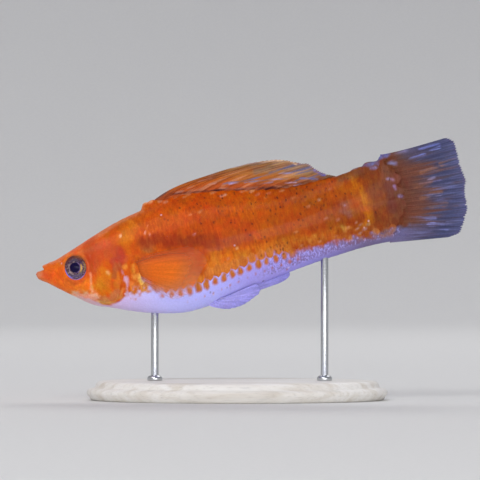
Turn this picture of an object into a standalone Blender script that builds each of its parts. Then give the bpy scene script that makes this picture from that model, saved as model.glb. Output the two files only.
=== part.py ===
"""Sailfin molly, a life-size model of a male with its sail folded down, on a plain display stand.

The fish is modelled level in its own frame: +X runs from the tip of the lower jaw to the tail, +Z is up
and -Y is its left side. One empty then tips it nose down and lifts it over the stand. The body is lofted
whole and parted with thin cuts, and each fin is a sheet whose rays stand up as ridges on both faces.
"""

import math

import bmesh
import bpy
import numpy as np
from mathutils import Matrix, Vector

MM = 0.001

# Driving dimensions, in metres.
TOTAL_LENGTH = 90.7 * MM
GAP = 0.3 * MM
NOSE_DOWN = math.radians(12)
JAW_TIP_X = -44.49 * MM
JAW_TIP_Z = 25.9 * MM

# Outlines of the body: distance behind the tip of the jaw, then the value, both in millimetres.
BACK_LINE = [
    (0, 0), (0.35, 0.3), (0.9, 0.48), (1.5, 0.85), (1.9, 1.45), (2.8, 1.85), (4.4, 2.12), (6.6, 2.85), (9.3, 3.86),
    (13.5, 5.5), (18.9, 7.3), (24.0, 8.45), (29.0, 9.2), (33.0, 9.4), (38.5, 8.95), (47.5, 7.4),
    (53.5, 6.45), (58.0, 6.35), (64.0, 6.9), (70.4, 7.85), (75.0, 8.65), (80.0, 9.2),
]
BELLY_LINE = [
    (0, 0), (0.15, -0.65), (0.7, -1.35), (1.8, -2.15), (3.9, -3.86), (7.1, -6.4), (10.4, -8.75),
    (13.9, -10.1), (18.6, -11.83), (24.0, -13.4), (30.0, -14.15), (34.0, -13.75), (38.0, -12.95),
    (42.0, -12.05), (47.5, -11.1), (54.4, -10.0), (60.9, -9.2), (68.6, -8.6), (75.0, -8.7), (80.0, -9.0),
]
HALF_WIDTH_LINE = [
    (0, 0.15), (0.25, 0.95), (0.9, 1.6), (1.8, 2.05), (3.6, 2.75), (5.5, 3.6), (8.3, 4.85), (11.5, 5.45),
    (17.0, 6.3), (24.0, 6.8), (30.0, 6.7), (38.0, 5.9), (48.0, 4.65), (58.0, 3.45), (68.0, 2.2),
    (74.0, 1.35), (77.0, 0.9), (80.0, 0.6),
]
# Height of the widest level, as a share of the depth from the belly up.
WIDEST_SHARE = [(0, 0.5), (3, 0.5), (8.3, 0.5), (14, 0.46), (24, 0.44), (40, 0.47), (60, 0.5), (80, 0.5)]
# How square a section is above and below its widest level: 2 is an ellipse.
CROWN_SQUARENESS = [(0, 2.2), (3, 2.5), (8.3, 2.9), (15, 2.4), (26, 1.95), (55, 1.9), (72, 2.2), (80, 2.6)]
KEEL_SQUARENESS = [(0, 2.2), (8.3, 2.1), (20, 2.25), (34, 2.1), (46, 1.9), (62, 1.9), (72, 2.2), (80, 2.6)]

# The loft runs past the root of the tail fin, where it is cut off.
LOFT_LENGTH = 80.0 * MM
LOFT_RINGS = 48
LOFT_SIDES = 36
RING_CROWDING = 1.6

# Seams between the nodes of the body, as paths on the side view, in millimetres.
JAW_SEAM = [(-1.0, 1.0), (0.6, 0.7), (1.75, 0.46), (3.5, -0.15), (4.5, -1.4), (5.3, -3.6), (6.1, -7.5)]
GILL_SEAM = [(20.2, 10.5), (18.6, 5.0), (17.0, 1.2), (15.7, -1.6), (15.5, -5.0), (15.0, -7.6), (12.6, -12.5)]
TAIL_SEAM = [(58.2, 9.0), (57.4, 0.0), (56.4, -12.0)]
CAUDAL_SEAM = [(74.4, 11.5), (75.3, 7.5), (76.6, 4.7), (77.3, 1.2), (76.9, -1.7), (75.8, -5.0), (74.1, -7.8),
               (72.6, -11.5)]

# Eyes, in millimetres: where the balls sit and their radii along, across and up.
EYE_CENTRE = (8.22, 3.3, -0.3)
EYE_RADII = (2.45, 2.0, 2.65)
ORBIT_RIM_RADIUS = 2.2
ORBIT_RIM_THICKNESS = 0.34
# How far the eye looks forward and up from straight out of the side of the head.
EYE_FORWARD = math.radians(13)
EYE_UP = math.radians(5)

# Gill covers: the outline of one on the side view, and how deep it is let into the head, in millimetres.
GILL_COVER_OUTLINE = [
    (11.5, 0.4), (14.2, 0.5), (16.4, -0.5), (17.4, -2.2), (17.3, -4.4), (16.8, -6.7), (15.7, -8.4), (14.0, -9.0),
    (12.2, -8.4), (11.1, -6.6), (10.8, -4.2), (11.1, -1.6),
]
GILL_COVER_THICKNESS = 0.65
# A seat this much deeper leaves the cover standing clear of the head by one gap.
GILL_SEAT_DEPTH = GILL_COVER_THICKNESS + GAP / MM

# Lips, as points along the left half of the mouth: distance behind the jaw's tip, sideways and height.
UPPER_LIP = [(2.2, 0.0, 1.05), (2.25, 0.9, 0.98), (2.5, 1.65, 0.72), (3.1, 2.2, 0.35), (3.75, 2.6, 0.05)]
LOWER_LIP = [(0.6, 0.0, 0.0), (0.85, 0.8, 0.0), (1.45, 1.45, -0.1), (2.3, 1.95, -0.35), (3.3, 2.4, -0.75)]
LIP_RADIUS = 0.42
# Nostrils, two on each side: distance behind the jaw's tip and height, in millimetres.
NOSTRILS = [(4.3, 1.45), (5.7, 1.75)]
NOSTRIL_RADIUS = 0.24
NOSTRIL_RIM = 0.12

# Fins. A sheet is thick enough to carry its rays, which stand up from it, and thins out at its free edge.
MEMBRANE = 0.5 * MM
RAY_HEIGHT = 0.36 * MM
EDGE_THICKNESS = 0.26 * MM
FIN_ROOT_THICKNESS = 1.0 * MM

# Stand. The rods stand under the belly, clear of the fins on it.
BASE_LENGTH = 62.0 * MM
BASE_WIDTH = 33.0 * MM
BASE_HEIGHT = 4.0 * MM
BASE_CENTRE_X = -3.0 * MM
BASE_EDGE = 0.8 * MM
ROD_RADIUS = 0.8 * MM
ROD_SOCKET_DEPTH = 2.2 * MM
# The rods are made up to this height inside the fish, then cut back to clear its belly.
ROD_REACH = 32.0 * MM
ROD_PLACES = {"stand_rod_front": -20.0 * MM, "stand_rod_rear": 15.0 * MM}

# Colours are sRGB, with roughness and metallic.
FINISHES = {
    "orange_flesh": ("#CE5A1C", 0.42, 0.0),
    "snout_flesh": ("#E0662A", 0.42, 0.0),
    "gill_cover": ("#CF7A22", 0.35, 0.0),
    "eye": ("#2B2430", 0.12, 0.0),
    "amber_fin": ("#C07432", 0.5, 0.0),
    "tail_fin": ("#77688C", 0.5, 0.0),
    "pale_fin": ("#B4A6DC", 0.5, 0.0),
    "steel_rod": ("#B9BCC0", 0.3, 1.0),
    "base_wood": ("#E3DED6", 0.45, 0.0),
}


def clear_scene():
    for obj in list(bpy.data.objects):
        bpy.data.objects.remove(obj, do_unlink=True)


def collection(name):
    made = bpy.data.collections.new(name)
    bpy.context.scene.collection.children.link(made)
    return made


class Outline:
    """A smooth curve through points given in millimetres, or a plain share where unit is 1."""

    def __init__(self, points, unit=MM):
        self.at = np.array([p[0] for p in points]) * MM
        self.value = np.array([p[1] for p in points]) * unit
        step = np.diff(self.at)
        rise = np.diff(self.value) / step
        inner = (rise[:-1] * step[1:] + rise[1:] * step[:-1]) / (step[:-1] + step[1:])
        self.slope = np.concatenate([rise[:1], inner, rise[-1:]])

    def __call__(self, x):
        x = min(max(x, self.at[0]), self.at[-1])
        i = min(int(np.searchsorted(self.at, x, side="right")) - 1, len(self.at) - 2)
        step = self.at[i + 1] - self.at[i]
        t = (x - self.at[i]) / step
        start = (2 * t**3 - 3 * t**2 + 1) * self.value[i] + (t**3 - 2 * t**2 + t) * step * self.slope[i]
        end = (3 * t**2 - 2 * t**3) * self.value[i + 1] + (t**3 - t**2) * step * self.slope[i + 1]
        return float(start + end)


BACK = Outline(BACK_LINE)
BELLY = Outline(BELLY_LINE)
HALF_WIDTH = Outline(HALF_WIDTH_LINE)
WIDEST = Outline(WIDEST_SHARE, unit=1)
CROWN = Outline(CROWN_SQUARENESS, unit=1)
KEEL = Outline(KEEL_SQUARENESS, unit=1)


def signed_power(value, power):
    return math.copysign(abs(value) ** power, value)


def body_point(x, angle, grown=0.0):
    """The skin at distance x behind the jaw's tip. Angle 0 is the back, and a half turn is the belly."""
    top = BACK(x) + grown
    bottom = BELLY(x) - grown
    middle = bottom + (top - bottom) * WIDEST(x)
    up, out = math.cos(angle), math.sin(angle)
    roundness = 2 / (CROWN(x) if up > 0 else KEEL(x))
    height = top - middle if up > 0 else middle - bottom
    side = max(HALF_WIDTH(x) + grown, 0.1 * MM)
    return Vector((x, side * signed_power(out, roundness), middle + height * signed_power(up, roundness)))


def side_of_body(x, z):
    """How far out the skin lies at that height, on the level of a point on the side view."""
    top, bottom = BACK(x), BELLY(x)
    middle = bottom + (top - bottom) * WIDEST(x)
    squareness = CROWN(x) if z > middle else KEEL(x)
    height = top - middle if z > middle else middle - bottom
    share = min(abs(z - middle) / height, 1.0)
    return HALF_WIDTH(x) * (1 - share**squareness) ** (1 / squareness)


def new_object(name, mesh, where):
    obj = bpy.data.objects.new(name, mesh)
    where.objects.link(obj)
    return obj


def shade_smooth(obj, sharp_over=math.radians(40)):
    obj.data.shade_smooth()
    obj.data.set_sharp_from_angle(angle=sharp_over)


def body_loft(name, where, grown=0.0):
    """The whole body, as a sphere whose rings are moved out to the sections."""
    mesh = bpy.data.meshes.new(name)
    shape = bmesh.new()
    bmesh.ops.create_uvsphere(shape, u_segments=LOFT_SIDES, v_segments=LOFT_RINGS, radius=1.0)
    for vertex in shape.verts:
        ring = math.acos(max(-1.0, min(1.0, vertex.co.z))) / math.pi
        angle = math.atan2(vertex.co.y, vertex.co.x)
        vertex.co = body_point(LOFT_LENGTH * ring**RING_CROWDING, angle, grown)
    pole = min(shape.verts, key=lambda v: v.co.x)
    pole.co = Vector((-grown, 0, 0))
    tail_pole = max(shape.verts, key=lambda v: v.co.x)
    tail_pole.co = Vector((LOFT_LENGTH + 0.2 * MM, 0, (BACK(LOFT_LENGTH) + BELLY(LOFT_LENGTH)) / 2))
    bmesh.ops.recalc_face_normals(shape, faces=shape.faces)
    shape.to_mesh(mesh)
    shape.free()
    return new_object(name, mesh, where)


def applied(obj):
    """The object with its modifiers made part of its mesh."""
    graph = bpy.context.evaluated_depsgraph_get()
    mesh = bpy.data.meshes.new_from_object(obj.evaluated_get(graph))
    obj.modifiers.clear()
    obj.data = mesh
    return obj


def boolean(obj, other, operation, solver="EXACT"):
    modifier = obj.modifiers.new(operation.lower(), "BOOLEAN")
    modifier.solver = solver
    modifier.operation = operation
    modifier.object = other
    bpy.context.view_layer.update()
    applied(obj)
    return obj


def fuse(obj, pieces, solver="EXACT"):
    """The object joined with every closed piece in the collection, which is then emptied."""
    modifier = obj.modifiers.new("fuse", "BOOLEAN")
    modifier.solver = solver
    modifier.operation = "UNION"
    modifier.operand_type = "COLLECTION"
    modifier.collection = pieces
    bpy.context.view_layer.update()
    applied(obj)
    for piece in list(pieces.objects):
        bpy.data.objects.remove(piece, do_unlink=True)
    bpy.data.collections.remove(pieces)
    return obj


def smooth_path(points, steps):
    """Points along a smooth curve through the given ones, in metres."""
    length = [0.0]
    for before, after in zip(points, points[1:]):
        length.append(length[-1] + math.dist(before, after))
    axes = [Outline(list(zip(length, [p[i] for p in points]))) for i in range(len(points[0]))]
    places = [length[-1] * MM * step / steps for step in range(steps + 1)]
    return [tuple(axis(place) for axis in axes) for place in places]


def sheet(name, across, along, place, where):
    """A flat grid whose points are moved to where place puts their shares across and along it."""
    mesh = bpy.data.meshes.new(name)
    shape = bmesh.new()
    bmesh.ops.create_grid(shape, x_segments=across, y_segments=along, size=0.5)
    weights = shape.verts.layers.deform.verify()
    for vertex in shape.verts:
        vertex.co, vertex[weights][0] = place(vertex.co.x + 0.5, vertex.co.y + 0.5)
    bmesh.ops.triangulate(shape, faces=shape.faces)
    shape.to_mesh(mesh)
    shape.free()
    obj = new_object(name, mesh, where)
    obj.vertex_groups.new(name="thickness")
    return obj


def thickened(obj, thickness):
    """The sheet made a solid on both its sides, as thick at each point as its weight says."""
    wall = obj.modifiers.new("thickness", "SOLIDIFY")
    wall.thickness = thickness
    wall.offset = 0
    wall.vertex_group = "thickness"
    bpy.context.view_layer.update()
    return applied(obj)


def seam_cutter(name, path, where, steps=14):
    """A thin wall along a path on the side view, right across the body."""
    points = smooth_path(path, steps)

    def place(share, side):
        x, z = points[round(share * steps)]
        return (x, (side - 0.5) * 24 * MM, z), 1.0

    return thickened(sheet(name, steps, 1, place, where), GAP)


def side_prism(name, outline, depth_from, depth_to, where, grown=0.0):
    """A flat outline on the side view, made a block between two distances from the middle plane."""
    curve = bpy.data.curves.new(name, "CURVE")
    curve.dimensions = "2D"
    curve.fill_mode = "BOTH"
    curve.extrude = abs(depth_to - depth_from) / 2
    curve.offset = grown
    curve.resolution_u = 3
    spline = curve.splines.new("BEZIER")
    spline.bezier_points.add(len(outline) - 1)
    for point, (x, z) in zip(spline.bezier_points, outline):
        point.co = (x * MM, z * MM, 0)
        point.handle_left_type = point.handle_right_type = "AUTO"
    spline.use_cyclic_u = True
    obj = new_object(name, curve, where)
    obj.rotation_euler.x = math.pi / 2
    obj.location.y = (depth_from + depth_to) / 2
    return made_mesh(obj, where)


def made_mesh(obj, where):
    """A curve object turned into a closed mesh object of the same name and place."""
    bpy.context.view_layer.update()
    graph = bpy.context.evaluated_depsgraph_get()
    mesh = bpy.data.meshes.new_from_object(obj.evaluated_get(graph))
    mesh.transform(obj.matrix_world)
    name = obj.name
    bpy.data.objects.remove(obj, do_unlink=True)
    shape = bmesh.new()
    shape.from_mesh(mesh)
    bmesh.ops.remove_doubles(shape, verts=shape.verts, dist=0.001 * MM)
    bmesh.ops.recalc_face_normals(shape, faces=shape.faces)
    shape.to_mesh(mesh)
    shape.free()
    return new_object(name, mesh, where)


def gill_cover(side, whole, cutters, where):
    """One gill cover: the skin inside its outline, down to its thickness. It also cuts its seat."""
    sign = -1 if side == "left" else 1
    deep = (1.5 * MM * sign, 11 * MM * sign)
    core = body_loft("gill_core", cutters, grown=-GILL_COVER_THICKNESS * MM)
    plate = side_prism(f"gill_cover_{side}", GILL_COVER_OUTLINE, *deep, where)
    boolean(plate, whole, "INTERSECT")
    boolean(plate, core, "DIFFERENCE")
    bpy.data.objects.remove(core, do_unlink=True)
    seat_floor = body_loft("gill_seat_floor", cutters, grown=-GILL_SEAT_DEPTH * MM)
    seat = side_prism(f"gill_seat_{side}", GILL_COVER_OUTLINE, *deep, cutters, grown=GAP)
    boolean(seat, seat_floor, "DIFFERENCE")
    bpy.data.objects.remove(seat_floor, do_unlink=True)
    return keep_piece(plate, len), seat


def loose_pieces(shape):
    """The sets of points that hang together."""
    left = set(shape.verts)
    pieces = []
    while left:
        waiting = [left.pop()]
        piece = set(waiting)
        while waiting:
            vertex = waiting.pop()
            near = {edge.other_vert(vertex) for edge in vertex.link_edges} & left
            left -= near
            piece |= near
            waiting.extend(near)
        pieces.append(piece)
    return pieces


def keep_piece(obj, measure):
    """The object with only the loose piece that measures most."""
    shape = bmesh.new()
    shape.from_mesh(obj.data)
    kept = max(loose_pieces(shape), key=measure)
    bmesh.ops.delete(shape, geom=[v for v in shape.verts if v not in kept], context="VERTS")
    shape.to_mesh(obj.data)
    shape.free()
    return obj


def separated(obj, names, where):
    """The largest loose pieces from head to tail, as objects with these names. None drops a piece."""
    shape = bmesh.new()
    shape.from_mesh(obj.data)
    pieces = sorted(loose_pieces(shape), key=len, reverse=True)[: len(names)]
    pieces.sort(key=lambda piece: sum(v.co.x for v in piece) / len(piece))
    made = {}
    for name, kept in zip(names, [{v.index for v in piece} for piece in pieces]):
        if name is None:
            continue
        part = shape.copy()
        bmesh.ops.delete(part, geom=[v for v in part.verts if v.index not in kept], context="VERTS")
        mesh = bpy.data.meshes.new(name)
        part.to_mesh(mesh)
        part.free()
        made[name] = new_object(name, mesh, where)
    shape.free()
    bpy.data.objects.remove(obj, do_unlink=True)
    return made


def eye_frame(sign):
    """The place of an eye, with its own Z axis looking out of the head."""
    x, y, z = (value * MM for value in EYE_CENTRE)
    out = Vector((-math.sin(EYE_FORWARD), sign * math.cos(EYE_FORWARD) * math.cos(EYE_UP), math.sin(EYE_UP)))
    turn = out.to_track_quat("Z", "Y").to_matrix().to_4x4()
    return Matrix.Translation((x, sign * y, z)) @ turn


def eyeball(name, sign, where, grown=0.0):
    """A flattened ball: the eye itself, or the socket cut for it."""
    along, across, up = (radius * MM + grown for radius in EYE_RADII)
    shape = bmesh.new()
    bmesh.ops.create_uvsphere(shape, u_segments=24, v_segments=12, radius=1.0)
    stretch = Matrix.Diagonal((along, up, across, 1.0))
    bmesh.ops.transform(shape, matrix=eye_frame(sign) @ stretch, verts=shape.verts)
    mesh = bpy.data.meshes.new(name)
    shape.to_mesh(mesh)
    shape.free()
    return new_object(name, mesh, where)


def ring(name, centre, normal, radius, thickness, where, around=24, section=6):
    """A closed ring, such as the rim of an eye socket or of a nostril."""
    turn = Vector(normal).to_track_quat("Z", "Y")
    bpy.ops.mesh.primitive_torus_add(
        major_radius=radius, minor_radius=thickness / 2, major_segments=around, minor_segments=section,
        location=centre, rotation=turn.to_euler(),
    )
    obj = bpy.context.object
    obj.name = name
    for user in list(obj.users_collection):
        user.objects.unlink(obj)
    where.objects.link(obj)
    bpy.context.view_layer.update()
    obj.data.transform(obj.matrix_world)
    obj.matrix_world = Matrix.Identity(4)
    return obj


def lip(name, half, where):
    """A round lip along the mouth, bent from one corner round to the other."""
    path = [(x, -y, z) for x, y, z in reversed(half[1:])] + list(half)
    points = smooth_path(path, 16)
    curve = bpy.data.curves.new(name, "CURVE")
    curve.dimensions = "3D"
    curve.bevel_depth = LIP_RADIUS * MM
    curve.bevel_resolution = 2
    curve.use_fill_caps = True
    spline = curve.splines.new("POLY")
    spline.points.add(len(points) - 1)
    for i, point in enumerate(points):
        from_middle = abs(2 * i / (len(points) - 1) - 1)
        spline.points[i].co = (*point, 1)
        spline.points[i].radius = 1 - 0.45 * from_middle**2
    return made_mesh(new_object(name, curve, where), where)


def head_details(head, jaw, cutters):
    """Eye sockets with their rims, the two pairs of nostrils, and the lips."""
    grown_on = collection("grown_on_head")
    pits = []
    for side, sign in (("left", -1), ("right", 1)):
        frame = eye_frame(sign)
        rim_level = Matrix.Translation((0, 0, (EYE_RADII[1] - 0.85) * MM))
        centre = (frame @ rim_level).to_translation()
        normal = frame.to_3x3() @ Vector((0, 0, 1))
        ring(f"orbit_rim_{side}", centre, normal, ORBIT_RIM_RADIUS * MM, ORBIT_RIM_THICKNESS * MM * 2, grown_on)
        for number, (x, z) in enumerate(NOSTRILS):
            x, z = x * MM, z * MM
            place = Vector((x, sign * side_of_body(x, z), z))
            outward = Vector((-0.45, sign * 0.75, 0.5)).normalized()
            ring(f"nostril_{side}_{number}", place, outward, (NOSTRIL_RADIUS + NOSTRIL_RIM) * MM,
                 NOSTRIL_RIM * 2 * MM, grown_on, around=10, section=6)
            pits.append((place, outward))
    lip("upper_lip", UPPER_LIP, grown_on)
    fuse(head, grown_on, solver="MANIFOLD")
    for sign in (-1, 1):
        boolean(head, eyeball("socket", sign, cutters, grown=GAP), "DIFFERENCE", solver="MANIFOLD")
    for place, outward in pits:
        boolean(head, pit_cutter(place, outward, cutters), "DIFFERENCE", solver="MANIFOLD")
    grown_on = collection("grown_on_jaw")
    lip("lower_lip", LOWER_LIP, grown_on)
    fuse(jaw, grown_on, solver="MANIFOLD")


def pit_cutter(place, outward, where):
    """A small ball that hollows a nostril."""
    shape = bmesh.new()
    bmesh.ops.create_uvsphere(shape, u_segments=8, v_segments=6, radius=NOSTRIL_RADIUS * 1.5 * MM)
    bmesh.ops.translate(shape, vec=place + outward * 0.12 * MM, verts=shape.verts)
    mesh = bpy.data.meshes.new("nostril_pit")
    shape.to_mesh(mesh)
    shape.free()
    return new_object("nostril_pit", mesh, where)


def fused_body(fish, cutters):
    """Head, lower jaw, trunk, tail stalk and gill covers, parted from one loft."""
    whole = body_loft("whole_body", cutters)
    body = body_loft("body", cutters)
    for side in ("left", "right"):
        plate, seat = gill_cover(side, whole, cutters, fish)
        boolean(body, seat, "DIFFERENCE")
    for name, path in (("jaw", JAW_SEAM), ("gill", GILL_SEAM), ("tail", TAIL_SEAM), ("caudal", CAUDAL_SEAM)):
        boolean(body, seam_cutter(f"{name}_seam", path, cutters), "DIFFERENCE")
    parts = separated(body, ["lower_jaw", "head", "trunk", "tail_stalk", None], fish)
    head_details(parts["head"], parts["lower_jaw"], cutters)
    return parts


def between(start, end, share):
    return start + (end - start) * share


def fin_sheet(name, root, tips, rays, where, rows=7, bulge=(0.0, 0.0), lean=None, ridge=RAY_HEIGHT,
              notch=0.35 * MM, root_thickness=FIN_ROOT_THICKNESS):
    """A fin as a sheet of bent rays. Root and tips are paths on the side view, front ray first.

    Bulge is how far the first and the last ray arch away from a straight line, and lean gives how far
    out of the middle plane a point lies from its share across the fin and its share along the ray.
    Every ray has three columns of points, its crest and the membrane on both sides of it, and the
    membrane's free edge is notched between the rays.
    """
    columns = 3 * (rays - 1)
    root_points = smooth_path(root, columns)
    tip_points = smooth_path(tips, columns)
    most = max(root_thickness, MEMBRANE + ridge)

    def place(share, along):
        column = round(share * columns)
        crest = column % 3 == 0
        start, end = Vector(root_points[column]), Vector(tip_points[column])
        if not crest:
            end -= (end - start).normalized() * notch
        arch = between(bulge[0], bulge[1], share) * MM * 4 * along * (1 - along)
        x, z = between(start, end, along) + Vector((0, arch))
        thickness = MEMBRANE + (ridge * (1 - along) ** 0.5 if crest else 0.0)
        thickness = between(root_thickness, thickness, min(along * rows / 2, 1.0))
        if along > 1 - 0.5 / rows:
            thickness = EDGE_THICKNESS + (0.1 * MM if crest else 0.0)
        return (x, lean(share, along) if lean else 0.0, z), thickness / most

    return thickened(sheet(name, columns, rows, place, where), most)


def dorsal_fin(where):
    """The folded sail: eighteen long rays laid back over the body."""
    first, last = 25.4, 61.2
    steps = 12
    root = []
    for i in range(steps + 1):
        x = between(first, last, i / steps)
        root.append((x, BACK(x * MM) / MM + 0.34))
    tips = [(39.9, 13.0), (43.6, 13.4), (48.0, 13.5), (52.0, 13.0), (55.2, 12.2), (57.4, 11.3), (59.6, 10.4),
            (61.2, 9.0), (62.5, 8.1), (63.6, 7.6), (64.6, 7.45)]
    return fin_sheet("dorsal_fin", root, tips, 18, where, rows=8, bulge=(0.6, 0.1),
                     lean=lambda share, along: 0.35 * MM * math.sin(2 * math.pi * share) * along)


def caudal_fin(where):
    """The tail fin, half spread, with its upper corner drawn out."""
    root = [(x + 0.36, z) for x, z in CAUDAL_SEAM[1:-1]]
    root[0] = (75.35, 8.7)
    root[-1] = (74.3, -8.95)
    tips = [(88.5, 10.0), (89.8, 9.2), (90.2, 6.9), (90.4, 2.8), (90.7, 0.6), (90.1, -1.3), (89.9, -5.0),
            (88.5, -7.9), (87.4, -9.6), (85.2, -10.2)]
    return fin_sheet("caudal_fin", root, tips, 24, where, rows=7, bulge=(0.35, 0.0),
                     lean=lambda share, along: 0.5 * MM * math.sin(3 * math.pi * share) * along**2)


def pectoral_fin(side, where):
    """A breast fin, laid back against the flank and standing a little off it."""
    sign = -1 if side == "left" else 1
    root = [(20.75, -2.0), (20.85, -3.4), (21.35, -4.8)]
    tips = [(31.9, -0.75), (33.7, -2.0), (34.9, -3.4), (35.1, -4.5), (34.3, -5.7), (32.9, -7.2), (32.0, -8.5),
            (30.6, -10.0), (28.6, -10.75), (26.6, -10.7)]
    flank = side_of_body(root[1][0] * MM, root[1][1] * MM)
    first = flank + GAP + FIN_ROOT_THICKNESS / 2
    return fin_sheet(f"pectoral_fin_{side}", root, tips, 13, where, rows=6, bulge=(0.75, -0.95),
                     lean=lambda share, along: sign * (first + 1.9 * MM * along + 0.5 * MM * along**2
                                                       - 1.1 * MM * along * max(share - 0.4, 0)))


def pelvic_fin(side, where):
    """A belly fin, folded back beside the anal fin."""
    sign = -1 if side == "left" else 1
    root = [(35.7, -13.75), (34.9, -13.98), (34.0, -14.15)]
    tips = [(44.3, -13.6), (43.2, -14.1), (41.5, -14.5), (39.8, -14.8), (38.0, -15.05)]
    return fin_sheet(f"pelvic_fin_{side}", root, tips, 6, where, rows=5, bulge=(0.0, -0.2),
                     lean=lambda share, along: sign * (1.15 + 0.75 * along) * MM, root_thickness=0.8 * MM)


def anal_fin(where):
    """The male's anal fin: a narrow rod of thick rays, laid back along the belly."""
    root = [(39.0, -13.1), (37.8, -13.35), (36.4, -13.65)]
    tips = [(50.8, -11.1), (50.9, -11.3), (50.4, -11.6)]
    return fin_sheet("anal_fin", root, tips, 6, where, rows=7, bulge=(-0.15, -0.55), ridge=0.3 * MM,
                     notch=0.1 * MM)


def stand(where, cutters, fish):
    """A flat oval base and two rods that reach up to the belly."""
    shape = bmesh.new()
    bmesh.ops.create_cone(shape, cap_ends=True, segments=56, radius1=1.0, radius2=1.0, depth=1.0)
    size = Matrix.Diagonal((BASE_LENGTH / 2, BASE_WIDTH / 2, BASE_HEIGHT, 1.0))
    place = Matrix.Translation((BASE_CENTRE_X, 0, BASE_HEIGHT / 2))
    bmesh.ops.transform(shape, matrix=place @ size, verts=shape.verts)
    mesh = bpy.data.meshes.new("stand_base")
    shape.to_mesh(mesh)
    shape.free()
    base = new_object("stand_base", mesh, where)
    edge = base.modifiers.new("edge", "BEVEL")
    edge.width = BASE_EDGE
    edge.segments = 2
    edge.limit_method = "ANGLE"
    applied(base)
    clearance = body_loft("rod_clearance", cutters, grown=GAP)
    clearance.data.transform(fish.matrix_world)
    rods = {}
    for name, x in ROD_PLACES.items():
        foot = BASE_HEIGHT - ROD_SOCKET_DEPTH
        hole = upright_rod("rod_hole", x, foot - GAP, BASE_HEIGHT + MM, ROD_RADIUS + GAP, cutters)
        boolean(base, hole, "DIFFERENCE")
        rods[name] = upright_rod(name, x, foot, ROD_REACH, ROD_RADIUS, where)
        boolean(rods[name], clearance, "DIFFERENCE")
        keep_piece(rods[name], lambda piece: -min(v.co.z for v in piece))
    return base, rods


def upright_rod(name, x, bottom, top, radius, where):
    shape = bmesh.new()
    bmesh.ops.create_cone(shape, cap_ends=True, segments=20, radius1=radius, radius2=radius, depth=top - bottom)
    bmesh.ops.translate(shape, vec=(x, 0, (top + bottom) / 2), verts=shape.verts)
    mesh = bpy.data.meshes.new(name)
    shape.to_mesh(mesh)
    shape.free()
    return new_object(name, mesh, where)


def linear(channel):
    return channel / 12.92 if channel <= 0.04045 else ((channel + 0.055) / 1.055) ** 2.4


def finish(obj, name):
    """Gives an object its material, made once for each finish."""
    code, roughness, metallic = FINISHES[name]
    material = bpy.data.materials.get(name)
    if material is None:
        material = bpy.data.materials.new(name)
        material.use_nodes = True
        shader = material.node_tree.nodes["Principled BSDF"]
        colour = [linear(int(code[i : i + 2], 16) / 255) for i in (1, 3, 5)]
        shader.inputs["Base Color"].default_value = (*colour, 1)
        shader.inputs["Roughness"].default_value = roughness
        shader.inputs["Metallic"].default_value = metallic
    obj.data.materials.clear()
    obj.data.materials.append(material)
    shade_smooth(obj)


def main():
    clear_scene()
    model = collection("sailfin_molly")
    cutters = collection("cutters")
    fish = bpy.data.objects.new("fish", None)
    model.objects.link(fish)
    fish.location = (JAW_TIP_X, 0, JAW_TIP_Z)
    fish.rotation_euler.y = -NOSE_DOWN
    bpy.context.view_layer.update()

    parts = fused_body(model, cutters)
    finishes = {"head": "orange_flesh", "lower_jaw": "snout_flesh", "trunk": "orange_flesh",
                "tail_stalk": "orange_flesh"}
    for side, sign in (("left", -1), ("right", 1)):
        parts[f"eye_{side}"] = eyeball(f"eye_{side}", sign, model)
        parts[f"pectoral_fin_{side}"] = pectoral_fin(side, model)
        parts[f"pelvic_fin_{side}"] = pelvic_fin(side, model)
        parts[f"gill_cover_{side}"] = model.objects[f"gill_cover_{side}"]
        finishes[f"eye_{side}"] = "eye"
        finishes[f"pectoral_fin_{side}"] = "amber_fin"
        finishes[f"pelvic_fin_{side}"] = "pale_fin"
        finishes[f"gill_cover_{side}"] = "gill_cover"
    parts["dorsal_fin"] = dorsal_fin(model)
    parts["caudal_fin"] = caudal_fin(model)
    parts["anal_fin"] = anal_fin(model)
    finishes.update(dorsal_fin="amber_fin", caudal_fin="tail_fin", anal_fin="pale_fin")
    for name, obj in parts.items():
        obj.parent = fish
        finish(obj, finishes[name])
    base, rods = stand(model, cutters, fish)
    finish(base, "base_wood")
    for rod in rods.values():
        finish(rod, "steel_rod")
    for helper in list(cutters.objects):
        helper.hide_render = True
        helper.display_type = "WIRE"


main()
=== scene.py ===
import math

import bpy
import numpy as np
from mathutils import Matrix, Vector


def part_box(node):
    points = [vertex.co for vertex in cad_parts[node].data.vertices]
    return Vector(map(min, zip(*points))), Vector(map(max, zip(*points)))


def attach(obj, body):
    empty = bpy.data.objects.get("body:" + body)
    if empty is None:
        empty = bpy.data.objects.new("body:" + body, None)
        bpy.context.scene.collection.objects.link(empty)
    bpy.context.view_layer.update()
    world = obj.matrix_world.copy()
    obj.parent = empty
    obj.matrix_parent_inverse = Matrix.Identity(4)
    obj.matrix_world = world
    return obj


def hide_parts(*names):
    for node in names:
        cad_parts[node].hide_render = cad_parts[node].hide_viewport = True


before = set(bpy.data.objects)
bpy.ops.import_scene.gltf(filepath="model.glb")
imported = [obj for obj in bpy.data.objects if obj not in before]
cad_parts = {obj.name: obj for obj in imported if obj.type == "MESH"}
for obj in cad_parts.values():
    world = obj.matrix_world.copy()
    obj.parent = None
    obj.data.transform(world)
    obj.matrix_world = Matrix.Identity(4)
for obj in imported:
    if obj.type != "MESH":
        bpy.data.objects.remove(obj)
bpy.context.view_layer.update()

# Form of the fish
# The body of a grown male, laterally flattened, deepest over the belly fins and drawn out to a deep tail
# stalk. It is worked out level, in millimetres behind the jaw's tip, and then tipped nose down.
MM = 0.001
NOSE_DOWN = math.radians(12)
JAW_TIP = np.array((-44.49, 0.0, 25.9))
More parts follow.
